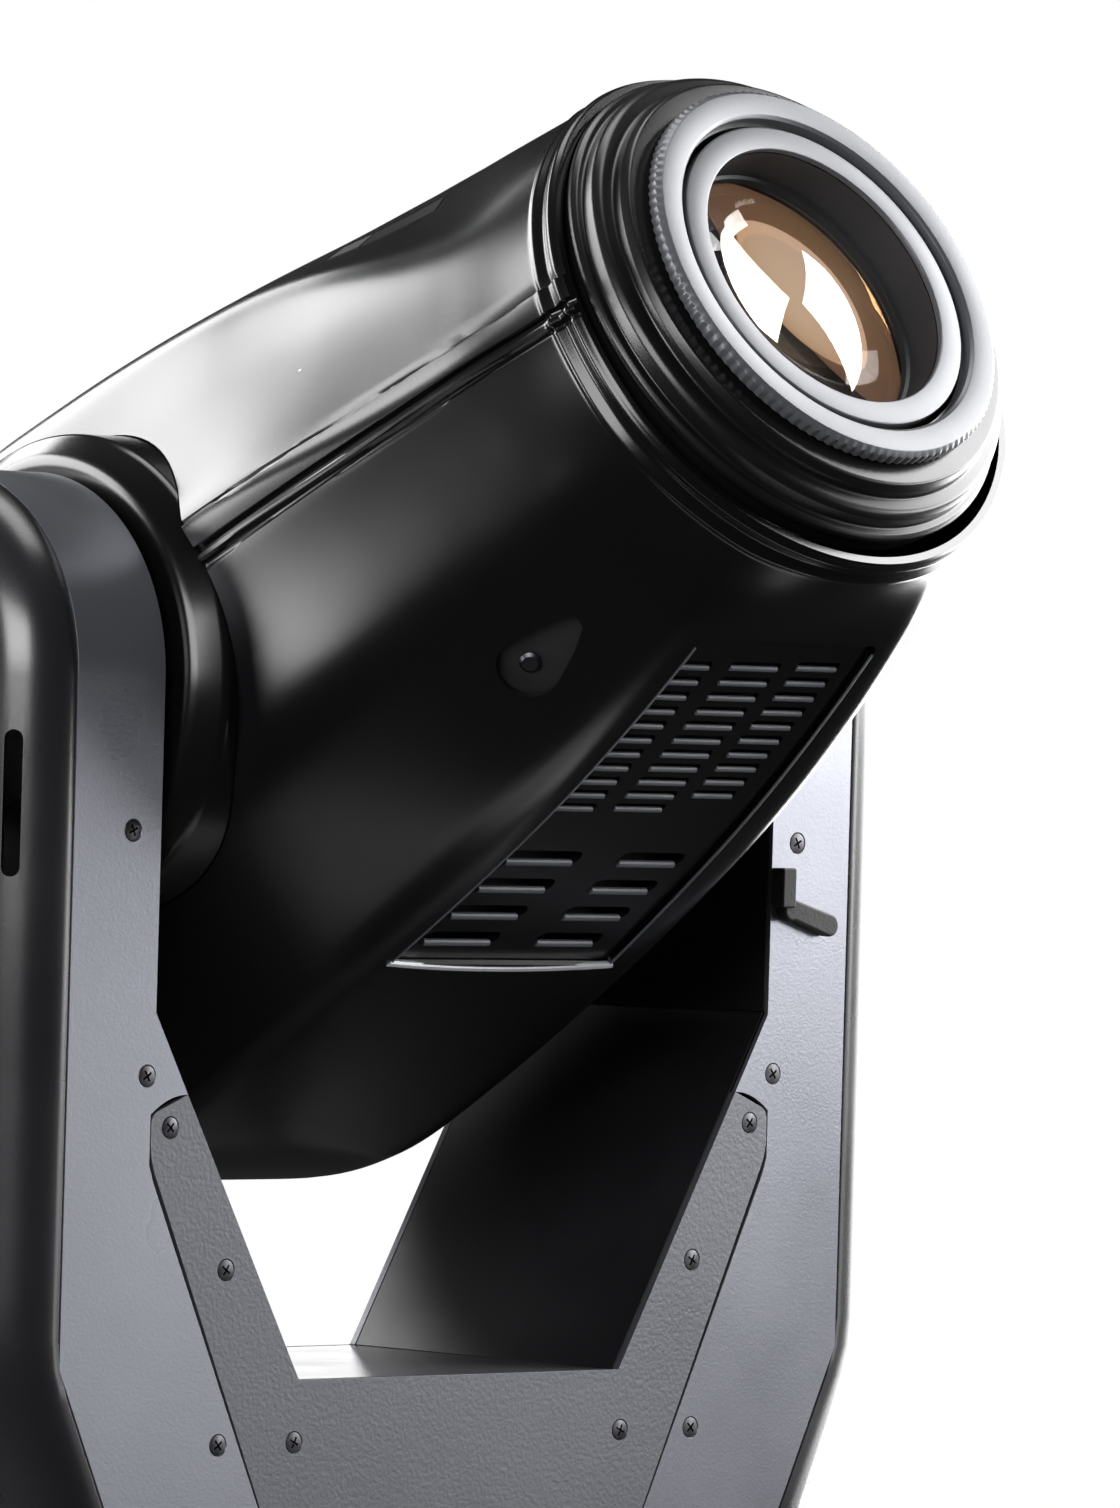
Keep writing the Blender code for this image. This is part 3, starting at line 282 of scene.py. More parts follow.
def finish_piece(name, shape, look, body, matrix, node=None, slot=None, bevel=0.0,
                 segments=2, angle=30):
    """Turn a bmesh into an object with its material, and tie it to the frame."""
    bmesh.ops.recalc_face_normals(shape, faces=shape.faces)
    mesh = bpy.data.meshes.new(name)
    shape.to_mesh(mesh)
    shape.free()
    made = bpy.data.objects.new(name, mesh)
    bpy.context.scene.collection.objects.link(made)
    mesh.transform(matrix)
    mesh.materials.append(MATERIALS[look])
    mesh.shade_smooth()
    mesh.set_sharp_from_angle(angle=radians(angle))
    if bevel:
        step = made.modifiers.new("bevel", "BEVEL")
        step.width = bevel
        step.segments = segments
        step.limit_method = "ANGLE"
        step.angle_limit = radians(35)
        step.harden_normals = True
    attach(made, body)
    if node:
        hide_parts(*([node] if isinstance(node, str) else node))
    return made


def head_piece(name, shape, look, **more):
    return finish_piece(name, shape, look, "head", HEAD, **more)


def yoke_piece(name, shape, look, **more):
    return finish_piece(name, shape, look, "yoke", YOKE, **more)


def cut(target, tools):
    """Cut closed bmeshes, given in world coordinates, out of a finished piece."""
    for tool in tools:
        bmesh.ops.recalc_face_normals(tool, faces=tool.faces)
        mesh = bpy.data.meshes.new("tool")
        tool.to_mesh(mesh)
        tool.free()
        helper = bpy.data.objects.new("tool", mesh)
        bpy.context.scene.collection.objects.link(helper)
        step = target.modifiers.new("cut", "BOOLEAN")
        step.operation = "DIFFERENCE"
        step.solver = "EXACT"
        step.object = helper
        # The cut comes before any bevel, so that its edges are rounded too.
        while target.modifiers[0] != step:
            index = target.modifiers.find(step.name)
            target.modifiers.move(index, index - 1)
        bpy.context.view_layer.update()
        bevels = [m for m in target.modifiers if m.type == "BEVEL"]
        for item in bevels:
            item.show_viewport = False
        graph = bpy.context.evaluated_depsgraph_get()
        result = bpy.data.meshes.new_from_object(target.evaluated_get(graph))
        target.modifiers.remove(target.modifiers["cut"])
        target.data = result
        for item in bevels:
            item.show_viewport = True
        bpy.data.objects.remove(helper, do_unlink=True)
    target.data.shade_smooth()
    target.data.set_sharp_from_angle(angle=radians(30))


def grid(rows, closed=False, wrap=False):
    """Faces through rows of points. closed joins each row's ends, wrap joins last to first."""
    shape = bmesh.new()
    verts = [[shape.verts.new(point) for point in row] for row in rows]
    pairs = list(zip(verts, verts[1:]))
    if wrap:
        pairs.append((verts[-1], verts[0]))
    count = len(verts[0])
    for first, second in pairs:
        for i in range(count if closed else count - 1):
            j = (i + 1) % count
            shape.faces.new((first[i], first[j], second[j], second[i]))
    return shape, verts


def lofted(rows):
    """Solid through rings of points, with a face over the first ring and over the last."""
    shape, verts = grid(rows, closed=True)
    shape.faces.new(verts[0])
    shape.faces.new(verts[-1])
    return shape


def turned(profile, sides=128):
    """Turn a closed outline of (radius, height) points round Z."""
    shape = bmesh.new()
    columns = []
    for radius, height in profile:
        if radius < 1e-6:
            columns.append([shape.verts.new((0, 0, height))] * sides)
            continue
        ring = []
        for k in range(sides):
            angle = 2 * pi * k / sides
            ring.append(shape.verts.new((radius * cos(angle), radius * sin(angle), height)))
        columns.append(ring)
    for first, second in zip(columns, columns[1:] + columns[:1]):
        for k in range(sides):
            m = (k + 1) % sides
            corners = list(dict.fromkeys((first[k], first[m], second[m], second[k])))
            if len(corners) > 2:
                shape.faces.new(corners)
    return shape


def prism(outline, low, high, plane="XZ"):
    """Solid of an outline drawn in a plane, from low to high across it."""
    order = {"XY": (0, 1, 2), "XZ": (0, 2, 1), "YZ": (1, 2, 0)}[plane]
    rows = []
    for level in (low, high):
        row = []
        for a, b in outline:
            point = [0.0, 0.0, 0.0]
            for axis, value in zip(order, (a, b, level)):
                point[axis] = value
            row.append(point)
        rows.append(row)
    return lofted(rows)


def box(low, high):
    shape = bmesh.new()
    bmesh.ops.create_cube(shape, size=1)
    size = [h - l for l, h in zip(low, high)]
    centre = [(h + l) / 2 for l, h in zip(low, high)]
    return moved(shape, Matrix.Translation(centre) @ Matrix.Diagonal((*size, 1)))


def moved(shape, matrix):
    """The same bmesh, moved by a matrix."""
    bmesh.ops.transform(shape, matrix=matrix, verts=shape.verts)
    return shape


def arc(centre, radius, start, end, steps):
    """Points of an arc between two angles in degrees."""
    points = []
    for k in range(steps + 1):
        angle = radians(start + (end - start) * k / steps)
        points.append((centre[0] + radius * cos(angle), centre[1] + radius * sin(angle)))
    return points


def rounded(corners, radius, steps=6):
    """Round the corners of a polygon; radius is one value, or one for each corner."""
    count = len(corners)
    radii = radius if isinstance(radius, (list, tuple)) else [radius] * count
    outline = []
    for i, (corner, r) in enumerate(zip(corners, radii)):
        here = Vector(corner)
        before = (Vector(corners[i - 1]) - here)
        after = (Vector(corners[(i + 1) % count]) - here)
        if r <= 0:
            outline.append(tuple(here))
            continue
        half = before.angle(after) / 2
        run = min(r / tan(half), before.length * 0.49, after.length * 0.49)
        start = here + before.normalized() * run
        end = here + after.normalized() * run
        for k in range(steps + 1):
            t = k / steps
            # A quadratic curve is close to the arc at these small radii.
            point = start * (1 - t) ** 2 + here * 2 * t * (1 - t) + end * t * t
            outline.append(tuple(point))
    return outline


def tube(points, radius, sides=8):
    """Round bead along a path of head points, closed at both ends."""
    rows = []
    for i, point in enumerate(points):
        ahead = Vector(points[min(i + 1, len(points) - 1)])
        along = (ahead - Vector(points[max(i - 1, 0)])).normalized()
        out = Vector((0, -1, 0)).cross(along).normalized()
        up = along.cross(out)
        ring = []
        for k in range(sides):
            angle = 2 * pi * k / sides
            ring.append(Vector(point) + radius * (cos(angle) * out + sin(angle) * up))
        rows.append(ring)
    return lofted(rows)


def joined(shapes):
    whole = bmesh.new()
    for shape in shapes:
        mesh = bpy.data.meshes.new("part")
        shape.to_mesh(mesh)
        shape.free()
        whole.from_mesh(mesh)
        bpy.data.meshes.remove(mesh)
    return whole


def mirrored(outline):
    return [(-a, b) for a, b in reversed(outline)]


def smooth(low, high, value):
    t = min(1.0, max(0.0, (value - low) / (high - low)))
    return t * t * (3 - 2 * t)


def soft_min(a, b, width):
    """The smaller of two lengths, rounded where they cross."""
    high, low = max(a, b), min(a, b)
    return low - width * log(1 + exp((low - high) / width))


def curve_through(points, value):
    """Smooth curve through (place, height) points, by cubic Hermite steps."""
    if value <= points[0][0]:
        return points[0][1]
    slopes = []
    for i in range(len(points)):
        a = points[max(0, i - 1)]
        b = points[min(len(points) - 1, i + 1)]
        slopes.append((b[1] - a[1]) / (b[0] - a[0]))
    for i in range(len(points) - 1):
        (x0, y0), (x1, y1) = points[i], points[i + 1]
        if value <= x1:
            t = (value - x0) / (x1 - x0)
            h = x1 - x0
            return ((2 * t ** 3 - 3 * t ** 2 + 1) * y0 + (t ** 3 - 2 * t ** 2 + t) * h * slopes[i]
                    + (3 * t ** 2 - 2 * t ** 3) * y1 + (t ** 3 - t ** 2) * h * slopes[i + 1])
    return points[-1][1]


# ---------------------------------------------------------------- camera, light and floor

CAMERA_PLACE = (-2.6060, -2.8399, -0.0240)     # from the tilt axis
CAMERA_YAW = -43.82
CAMERA_ROLL = 1.60
CAMERA_LENS = 232.8
FLOOR_RADIUS = 0.36           # a round plinth, small enough that the head doesn't mirror it
FLOOR_DEEP = 0.02


def stage():
    """Camera, round pale floor, and a world that is white to the camera and dim to the rest."""
    place = AXIS + Vector(CAMERA_PLACE)
    camera = bpy.data.cameras.new("camera")
    camera.lens = CAMERA_LENS
    camera.sensor_width = 36.0
    camera.sensor_fit = "AUTO"
    holder = bpy.data.objects.new("camera", camera)
    bpy.context.scene.collection.objects.link(holder)
    turn = Matrix.Rotation(radians(CAMERA_YAW), 4, "Z") @ Matrix.Rotation(pi / 2, 4, "X")
    roll = Matrix.Rotation(radians(CAMERA_ROLL), 4, "Z")
    holder.matrix_world = Matrix.Translation(place) @ turn @ roll
    bpy.context.scene.camera = holder
    floor_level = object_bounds()[0].z
    under = floor_level - FLOOR_DEEP
    shape = turned([(0, under), (FLOOR_RADIUS, under), (FLOOR_RADIUS, floor_level),
                    (0, floor_level)], 96)
    mesh = bpy.data.meshes.new("floor")
    shape.to_mesh(mesh)
    shape.free()
    floor = bpy.data.objects.new("floor", mesh)
    bpy.context.scene.collection.objects.link(floor)
    mesh.materials.append(surface("floor_pale", (0.62, 0.62, 0.63), (0.66, 0.66, 0.67),
                                  (0.6, 0.7), 60.0, 0.02))
    floor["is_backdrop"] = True
    world = bpy.data.worlds.new("studio")
    world.use_nodes = True
    bpy.context.scene.world = world
    tree = world.node_tree
    back = tree.nodes["Background"]
    back.inputs["Color"].default_value = (1, 1, 1, 1)
    path = tree.nodes.new("ShaderNodeLightPath")
    level = tree.nodes.new("ShaderNodeMapRange")
    level.inputs["To Min"].default_value = 0.035
    level.inputs["To Max"].default_value = 1.0
    tree.links.new(path.outputs["Is Camera Ray"], level.inputs["Value"])
    tree.links.new(level.outputs["Result"], back.inputs["Strength"])


def softbox(name, place, aim, size, radiance):
    """Rectangular light; radiance is how bright its face looks."""
    lamp = bpy.data.lights.new(name, "AREA")
    lamp.shape = "RECTANGLE"
    lamp.size, lamp.size_y = size
    lamp.energy = radiance * pi * size[0] * size[1]
    holder = bpy.data.objects.new(name, lamp)
    bpy.context.scene.collection.objects.link(holder)
    start = AXIS + Vector(place)
    holder.location = start
    look = (AXIS + Vector(aim)) - start
    holder.rotation_euler = look.to_track_quat("-Z", "Y").to_euler()


def lights():
    """Softboxes on both sides, behind and above, each placed from the tilt axis."""
    bpy.context.scene.view_settings.view_transform = "Standard"
    softbox("key_behind", (-0.02, 0.72, 0.40), (-0.10, 0.0, 0.10), (0.34, 0.40), 6.6)
    softbox("key_left", (-0.62, 0.72, 0.46), (-0.14, -0.05, 0.09), (0.84, 0.56), 10.5)
    softbox("left_side", (-1.30, -0.74, 0.36), (-0.235, -0.07, 0.02), (0.92, 0.66), 8.0)
    softbox("left_behind", (-1.30, 0.58, -0.05), (-0.15, -0.1, 0.03), (0.60, 0.50), 11.0)
    softbox("right_core", (1.25, -0.62, 0.60), (0.0, -0.28, 0.1), (0.75, 1.15), 13.0)
    softbox("right_wide", (1.45, 0.15, 0.05), (0.21, -0.05, -0.1), (1.2, 1.2), 8.0)
    softbox("front_right", (1.42, -1.30, 0.10), (0.19, -0.08, -0.10), (0.50, 0.50), 11.0)
    softbox("front_low", (0.86, -1.30, -0.32), (-0.18, -0.08, -0.2), (0.42, 0.34), 3.0)
    softbox("overhead", (0.12, 0.0, 1.30), (0.0, 0.0, 0.0), (1.10, 0.50), 4.0)
    softbox("back_card", (1.35, 1.42, -0.20), (0, 0, -0.25), (0.5, 0.35), 2.6)


# ---------------------------------------------------------------- head

UNDER = (                     # behind the lip over head half width: radius over it, underside
    (0.0, 0.675), (0.178, 0.700), (0.35, 0.742), (0.50, 0.793), (0.80, 0.872), (1.15, 0.940),
    (1.57, 0.987), (2.00, 1.014), (2.50, 1.024), (2.78, 1.006), (3.02, 0.925), (3.30, 0.740),
    (3.40, 0.66),
)
OVER = (                      # the same on the top
    (0.0, 0.640), (0.178, 0.668), (0.30, 0.688), (0.65, 0.757), (1.00, 0.838), (1.37, 0.920),
    (1.69, 0.975), (2.00, 1.012), (2.22, 1.030), (2.60, 1.028), (2.80, 1.000), (3.02, 0.915),
    (3.30, 0.735), (3.40, 0.66),
)
LOWER_FACETS = ((0, 0.886), (44, 0.966), (73, 0.985), (107, 0.985), (136, 0.966))
SOFTNESS = 64.0
ROUND_UNTIL = 0.16
FACETED_FROM = 0.55
LIP_WIDE = 0.0105             # seam lip on the upper cover
LIP_THIN = 0.0042             # and on the lower one
LIP_RISE = 0.0016


def behind_lip(height):
    return (HEAD_FRONT - height) / HEAD_HALF


def facets(side, behind):
    """Normals and distances of the soft octagon's sides; the top's crease drifts back."""
    if side < 0:
        return LOWER_FACETS
    drift = smooth(0.40, 1.30, behind)
    return ((0, 0.886 + 0.03 * drift), (44 - 20 * drift, 0.966),
            (73 - 13 * drift, 0.985 - 0.03 * drift), (107, 0.985), (136, 0.966))


def facet_radius(phi, sides):
    """Radius, over the corner radius, of the soft octagon at an angle from its middle."""
    total = 0.0
    for turn in (-1, 1):
        for middle, distance in sides:
            if middle == 0 and turn > 0:
                continue
            lean = cos(radians(phi - turn * middle))
            if lean > 0.05:
                total += (lean / distance) ** SOFTNESS
    return total ** (-1 / SOFTNESS)


SEAM_RADIUS = facet_radius(90, LOWER_FACETS)


def cover_radius(phi, height, side):
    """Radius of the head's cover; side is -1 below the seam and +1 above it."""
    behind = behind_lip(height)
    own = curve_through(OVER if side > 0 else UNDER, behind)
    other = curve_through(UNDER if side > 0 else OVER, behind)
    meet = smooth(55, 90, phi) * 0.5
    radius = (own * (1 - meet) + other * meet) * HEAD_HALF
    share = smooth(ROUND_UNTIL, FACETED_FROM, behind)
    sides = facets(side, behind)
    shape = facet_radius(phi, sides)
    if side > 0:
        shape *= (SEAM_RADIUS / facet_radius(90, sides)) ** smooth(62, 90, phi)
    return radius * (1 - share + share * shape)


def swell(place, middle, half):
    """A rounded ridge, from 0 at its feet to 1 at its middle."""
    away = abs(place - middle) / half
    return 0.0 if away >= 1 else 0.5 + 0.5 * cos(pi * away)


def front_rims(height):
    """Raised rims round the covers' front edge, with a groove between them."""
    rise = 0.0014 * swell(height, SHELL_FRONT - 0.0030, 0.0030)
    rise -= 0.0007 * swell(height, SHELL_FRONT - 0.0078, 0.0020)
    return rise + 0.0009 * swell(height, SHELL_FRONT - 0.0118, 0.0026)


def cover_point(phi, height, side, inset=0.0, lips=True):
    """A point of the cover; phi runs from -90 (right seam) to 90 (left seam)."""
    angle = abs(phi)
    radius = cover_radius(angle, height, side)
    if lips:
        run = radians(90 - angle) * radius
        radius += lip_rise(run, height, side) + front_rims(height)
    radius -= inset
    x = radius * sin(radians(angle))
    y = radius * cos(radians(angle))
    reach = hypot(y, min(height, 0.0))
    room = HEAD_HALF + 0.0015 - max(0.0, reach - KINK_DROP) * WEDGE * (height < 0) - inset
    x = soft_min(x, room, 0.0012)
    return (-x if phi > 0 else x, side * y, height)


def lip_rise(run, height, side):
    """Raised lip along the seam, run metres round from it, with a fine groove beyond."""
    fade = smooth(SHELL_REAR, SHELL_REAR + 0.03, height)
    width = LIP_WIDE if side > 0 else LIP_THIN
    rise = LIP_RISE * (1 - smooth(width, width + 0.0011, run))
    edge = 0.0011 if side > 0 else 0.0022
    rise -= 0.0030 * (1 - smooth(edge - 0.0008, edge + 0.0002, run))
    groove = -0.0007 * smooth(width + 0.0007, width + 0.0012, run)
    groove *= 1 - smooth(width + 0.0020, width + 0.0030, run)
    return (rise + groove) * fade


def cover_angles(radius):
    """Angles from the seam to the middle, close together where the lip's edges are."""
    runs = [0.0, 0.0006, 0.0010, 0.0014, 0.0019, 0.0024, 0.0030, 0.0040, 0.0046, 0.0052, 0.0058,
            0.0066, 0.0076, 0.0090, 0.0104, 0.0108, 0.0112, 0.0116, 0.0120, 0.0126, 0.0134,
            0.0142, 0.0160]
    angles = [90 - degrees(run / radius) for run in runs]
    last = angles[-1]
    steps = 44
    angles += [last * (1 - k / steps) for k in range(1, steps + 1)]
    return angles


def half_cover(side):
    """Half of the head's skin as a closed shell: outer surface, inner surface and rims."""
    half = cover_angles(HEAD_HALF * 0.95)
    angles = half + [-a for a in reversed(half[:-1])]
    rows = []
    for height in cover_heights():
        outer = [cover_point(a, height, side) for a in angles]
        inner = [cover_point(a, height, side, SHELL, False) for a in angles]
        rows.append(outer + list(reversed(inner)))
    shape, verts = grid(rows, closed=True)
    count = len(verts[0])
    for row in (verts[0], verts[-1]):
        for i in range(count // 2 - 1):
            shape.faces.new((row[i], row[i + 1], row[count - 2 - i], row[count - 1 - i]))
    return shape


def cover_heights():
    """Stations along the beam, close together at the nose."""
    fine = [SHELL_FRONT - 0.0007 * k for k in range(24)]
    steps = 82
    rest = SHELL_REAR - fine[-1]
    return fine + [fine[-1] + rest * k / steps for k in range(1, steps + 1)]


# Vent panel in the underside: heights along the beam and half widths.
VENT_FRONT = 0.222
VENT_REAR = 0.026
VENT_HALF_FRONT = 0.047
VENT_HALF_REAR = 0.0585
VENT_DEPTH = 0.0025
VENT_SHEET = 0.0022
BACKING_DEPTH = 0.010
BACKING_SHEET = 0.0015


def vent_half(height):
    share = (height - VENT_REAR) / (VENT_FRONT - VENT_REAR)
    return VENT_HALF_REAR + (VENT_HALF_FRONT - VENT_HALF_REAR) * share


def vent_outline(margin):
    """Outline of the panel in the plane of X and the beam, with small round corners."""
    corners = []
    for height, side in ((VENT_FRONT, 1), (VENT_FRONT, -1), (VENT_REAR, -1), (VENT_REAR, 1)):
        end = height + (margin if height == VENT_FRONT else -margin)
        corners.append((side * (vent_half(height) + margin), end))
    return rounded(corners, 0.006, 5)


def underside(x, height):
    """Depth of the cover below the beam, at a distance to the side."""
    radius = cover_radius(0, height, -1)
    phi = degrees(atan2(abs(x), radius))
    for _ in range(3):
        radius = cover_radius(phi, height, -1)
        phi = degrees(atan2(abs(x), radius * cos(radians(phi))))
    return radius * cos(radians(phi))


def vent_sheet(near, far, margin=0.0):
    """A sheet that follows the underside, from near to far inside its surface."""
    steps_x, steps_z = 24, 44
    layers = []
    for depth in (near, far):
        rows = []
        for j in range(steps_z + 1):
            share = j / steps_z
            height = VENT_FRONT + margin + (VENT_REAR - VENT_FRONT - 2 * margin) * share
            half = vent_half(height) + margin
            row = []
            for i in range(steps_x + 1):
                x = half * (1 - 2 * i / steps_x)
                row.append((x, depth - underside(x, height), height))
            rows.append(row)
        layers.append(rows)
    shape = bmesh.new()
    faces = []
    for rows in layers:
        faces.append([[shape.verts.new(p) for p in row] for row in rows])
    top, low = faces
    for layer in faces:
        for first, second in zip(layer, layer[1:]):
            for i in range(steps_x):
                shape.faces.new((first[i], first[i + 1], second[i + 1], second[i]))
    for edge_top, edge_low in (
            (top[0], low[0]), (top[-1], low[-1]),
            ([r[0] for r in top], [r[0] for r in low]),
            ([r[-1] for r in top], [r[-1] for r in low])):
        for i in range(len(edge_top) - 1):
            shape.faces.new((edge_top[i], edge_top[i + 1], edge_low[i + 1], edge_low[i]))
    return shape


FINE_COLUMNS = ((-0.0402, 0.0230, 11, 0.2065), (-0.0062, 0.0275, 11, 0.2070),
                (0.0265, 0.0235, 10, 0.2080))
FINE_PITCH = 0.0080
FINE_OPEN = 0.0046
WIDE_COLUMNS = ((-0.0318, 0.0400), (0.0258, 0.0350))
WIDE_PITCH = 0.0182
WIDE_OPEN = 0.0088


def slot_places():
    """Centre, width, height along the beam and opening of each slot."""
    places = []
    for centre, width, count, start in FINE_COLUMNS:
        for k in range(count):
            places.append((centre, width, start - FINE_PITCH * k, FINE_OPEN))
    for centre, width in WIDE_COLUMNS:
        for k in range(4):
            places.append((centre, width, 0.0945 - WIDE_PITCH * k, WIDE_OPEN))
    return places


def slot_tool(centre, width, height, opening):
    end = opening / 2
    outline = arc((centre - width / 2 + end, height), end, 90, 270, 6)
    outline += arc((centre + width / 2 - end, height), end, -90, 90, 6)
    return prism(outline, -HEAD_HALF * 1.1, -HEAD_HALF * 0.45)


def louvre(centre, width, height, opening):
    """Rounded lip in the rear half of a slot, which catches the light; its light grey colour adds a painted
    highlight.
    """
    run = width / 2 - opening * 0.30
    fine = opening == FINE_OPEN
    radius = opening * (0.25 if fine else 0.17)
    drop = opening * (0.30 if fine else 0.40)
    points = []
    for i in range(11):
        x = centre - run + 2 * run * i / 10
        z = height - drop
        points.append((x, VENT_DEPTH - underside(x, z) + radius * 0.25, z))
    return tube(points, radius, 10)


def edge_bead(side):
    """Thin bead down one side of the vent opening."""
    points = []
    for i in range(41):
        z = VENT_REAR + (VENT_FRONT - 0.004 - VENT_REAR) * i / 40
        x = side * vent_half(z)
        points.append((x, 0.0001 - underside(x, z), z))
    return tube(points, 0.0005)


RECESS_HEIGHT = 0.176         # finger recesses: place along the beam, angle round it, sizes
RECESS_ANGLE = 43.0
RECESS_RADIUS = 0.0125
RECESS_FLOOR = -0.0048


def teardrop_frame(side):
    """Where a finger recess sits: its round end, with Y along the beam and Z outwards."""
    phi = RECESS_ANGLE * -side
    x, y, _ = cover_point(phi, RECESS_HEIGHT, -1)
    ahead = cover_point(phi, RECESS_HEIGHT + 0.02, -1)
    along = Vector((ahead[0] - x, ahead[1] - y, 0.02)).normalized()
    out = Vector((side * sin(radians(44)), -cos(radians(44)), 0))
    out = (out - along * out.dot(along)).normalized()
    turn = Matrix((along.cross(out), along, out)).transposed().to_4x4()
    return HEAD @ Matrix.Translation((x, y, RECESS_HEIGHT)) @ turn


def teardrop(margin, low, high):
    """Teardrop prism: round at the back and narrower at the front."""
    outline = arc((0, 0), RECESS_RADIUS + margin, 160, 380, 18)
    outline += [(0.0085 + margin, 0.016), (0.0040 + margin, 0.0265), (0.0, 0.0285 + margin),
                (-0.0040 - margin, 0.0265), (-0.0085 - margin, 0.016)]
    return prism(outline, low, high, "XY")


def teardrops():
    """Dark cups behind the finger recesses, and the fastener head in each."""
    for name, side in (("left", -1), ("right", 1)):
        cup = moved(teardrop(0.0010, RECESS_FLOOR - 0.0012, RECESS_FLOOR), teardrop_frame(side))
        finish_piece(f"recess_cup_{name}", cup, "groove", "head", HERE)
        screw = turned([(0, 0), (0.0042, 0), (0.0042, 0.0012), (0.0030, 0.0022), (0, 0.0024)], 24)
        place = teardrop_frame(side) @ Matrix.Translation((0, 0, RECESS_FLOOR))
        finish_piece(f"recess_screw_{name}", moved(screw, place), "screw", "head", HERE)


def top_inserts():
    """Slim light inserts near the top, with a dark notch behind each."""
    for name, side in (("left", 1), ("right", -1)):
        cover_patch(f"top_insert_{name}", "nose", side, 0.199, 0.163)
        cover_patch(f"top_notch_{name}", "groove", side, 0.161, 0.147)


def cover_patch(name, look, side, front, back):
    """A thin patch that stands a little proud of the upper cover."""
    rows = []
    for k in range(13):
        height = front + (back - front) * k / 12
        angles = [33 + 5.5 * i / 5 for i in range(6)]
        proud, sunk = [[cover_point(side * a, height, 1, inset) for a in angles]
                       for inset in (-0.0006, 0.0006)]
        rows.append(proud + sunk[::-1])
    head_piece(name, lofted(rows), look)


def head_covers():
    for name, side in (("head_cover_upper", 1), ("head_cover_lower", -1)):
        made = head_piece(name, half_cover(side), "head", node=name)
        turn = Matrix.Rotation(pi / 2, 4, "Y")
        bore = BOSS_RADIUS + 0.0006
        tools = [moved(turned([(0, -0.2), (bore, -0.2), (bore, 0.2), (0, 0.2)], 96),
                       HEAD @ turn)]
        if side < 0:
            opening = prism(vent_outline(0.0008), -HEAD_HALF * 1.2, -HEAD_HALF * 0.4)
            tools.append(moved(opening, HEAD))
            tools += [moved(teardrop(0, -0.012, 0.010), teardrop_frame(end)) for end in (-1, 1)]
        cut(made, tools)


def vent_panel():
    made = head_piece("vent_panel", vent_sheet(VENT_DEPTH, VENT_DEPTH + VENT_SHEET), "head",
                      node="vent_panel")
    cut(made, [moved(joined([slot_tool(*place) for place in slot_places()]), HEAD)])
    head_piece("vent_louvres", joined([louvre(*place) for place in slot_places()]), "louvre")
    half = VENT_HALF_REAR + 0.001
    z = VENT_REAR - 0.0005
    rim = []
    for i in range(41):
        x = half * (1 - i / 20)
        rim.append((x, 0.0004 - underside(x, z), z - 0.0035 * (1 - (x / half) ** 2)))
    # The rim's light grey material is a painted highlight along the vent's rear edge.
    head_piece("vent_rear_rim", tube(rim, 0.0016), "bright")
    # The beads' light grey louvre material paints a highlight down the vent's sides.
    head_piece("vent_beads", joined([edge_bead(-1), edge_bead(1)]), "louvre")
    backing = vent_sheet(BACKING_DEPTH, BACKING_DEPTH + BACKING_SHEET, -0.002)
    head_piece("vent_backing", backing, "groove")


def nose():
    """Stepped black nose, light trim ring with its knurl, lip, cone and lenses."""
    base = SHELL_FRONT
    top = HEAD_FRONT - 0.0055
    steps = [
        (0.0900, base - 0.0060), (0.1005, base - 0.0060), (0.1005, base + 0.0004),
        (0.1016, base + 0.0008), (0.1022, base + 0.0022), (0.1020, base + 0.0040),
        (0.1006, base + 0.0056), (0.0980, base + 0.0060), (0.0982, base + 0.0118),
        (0.0964, base + 0.0146), (0.0908, base + 0.0152), (0.0905, base + 0.0190),
        (0.0890, top), (0.0690, top), (0.0690, LENS_SEAT - 0.0075), (0.0860, LENS_SEAT - 0.0075),
    ]
    radii = [0.0005, 0.0005, 0.0004, 0.0006, 0.0012, 0.0014, 0.0016, 0.0012, 0.0026, 0.0030,
             0.0015, 0.0012, 0.0015, 0.0005, 0.0005, 0.0005]
    head_piece("nose_ring", turned(rounded(steps, radii, 4), 160), "nose", node="nose_ring")
    trim_ring(top)
    rim = 0.0575
    cone = [(LIP_BORE - 0.0002, HEAD_FRONT - 0.0025), (rim, LENS_SEAT + 0.0090),
            (rim - 0.0012, LENS_SEAT + 0.0082), (rim - 0.0012, LENS_SEAT + 0.0050),
            (0.0655, LENS_SEAT + 0.0050), (0.0655, HEAD_FRONT - 0.0050),
            (LIP_BORE + 0.0032, HEAD_FRONT - 0.0050)]
    head_piece("lens_cone", turned(cone, 160), "cone")
    lens = [(0, LENS_SEAT - 0.010)]
    back = LENS_SEAT - 0.010
    edge = LENS_SEAT + 0.0015
    rim = 0.0605
    for k in range(1, 13):
        share = k / 12
        lens.append((rim * share, back + 0.006 * share ** 2))
    lens.append((rim, edge))
    # The front face is a spherical cap that rises DOME above the rim.
    dome = 0.0185
    ball = (rim ** 2 + dome ** 2) / (2 * dome)
    for k in range(1, 25):
        radius = rim * (1 - k / 24)
        lens.append((radius, edge + dome - ball + sqrt(ball ** 2 - radius ** 2)))
    head_piece("front_lens", turned(lens, 128), "lens", node="front_lens")
    inner_lenses(back)


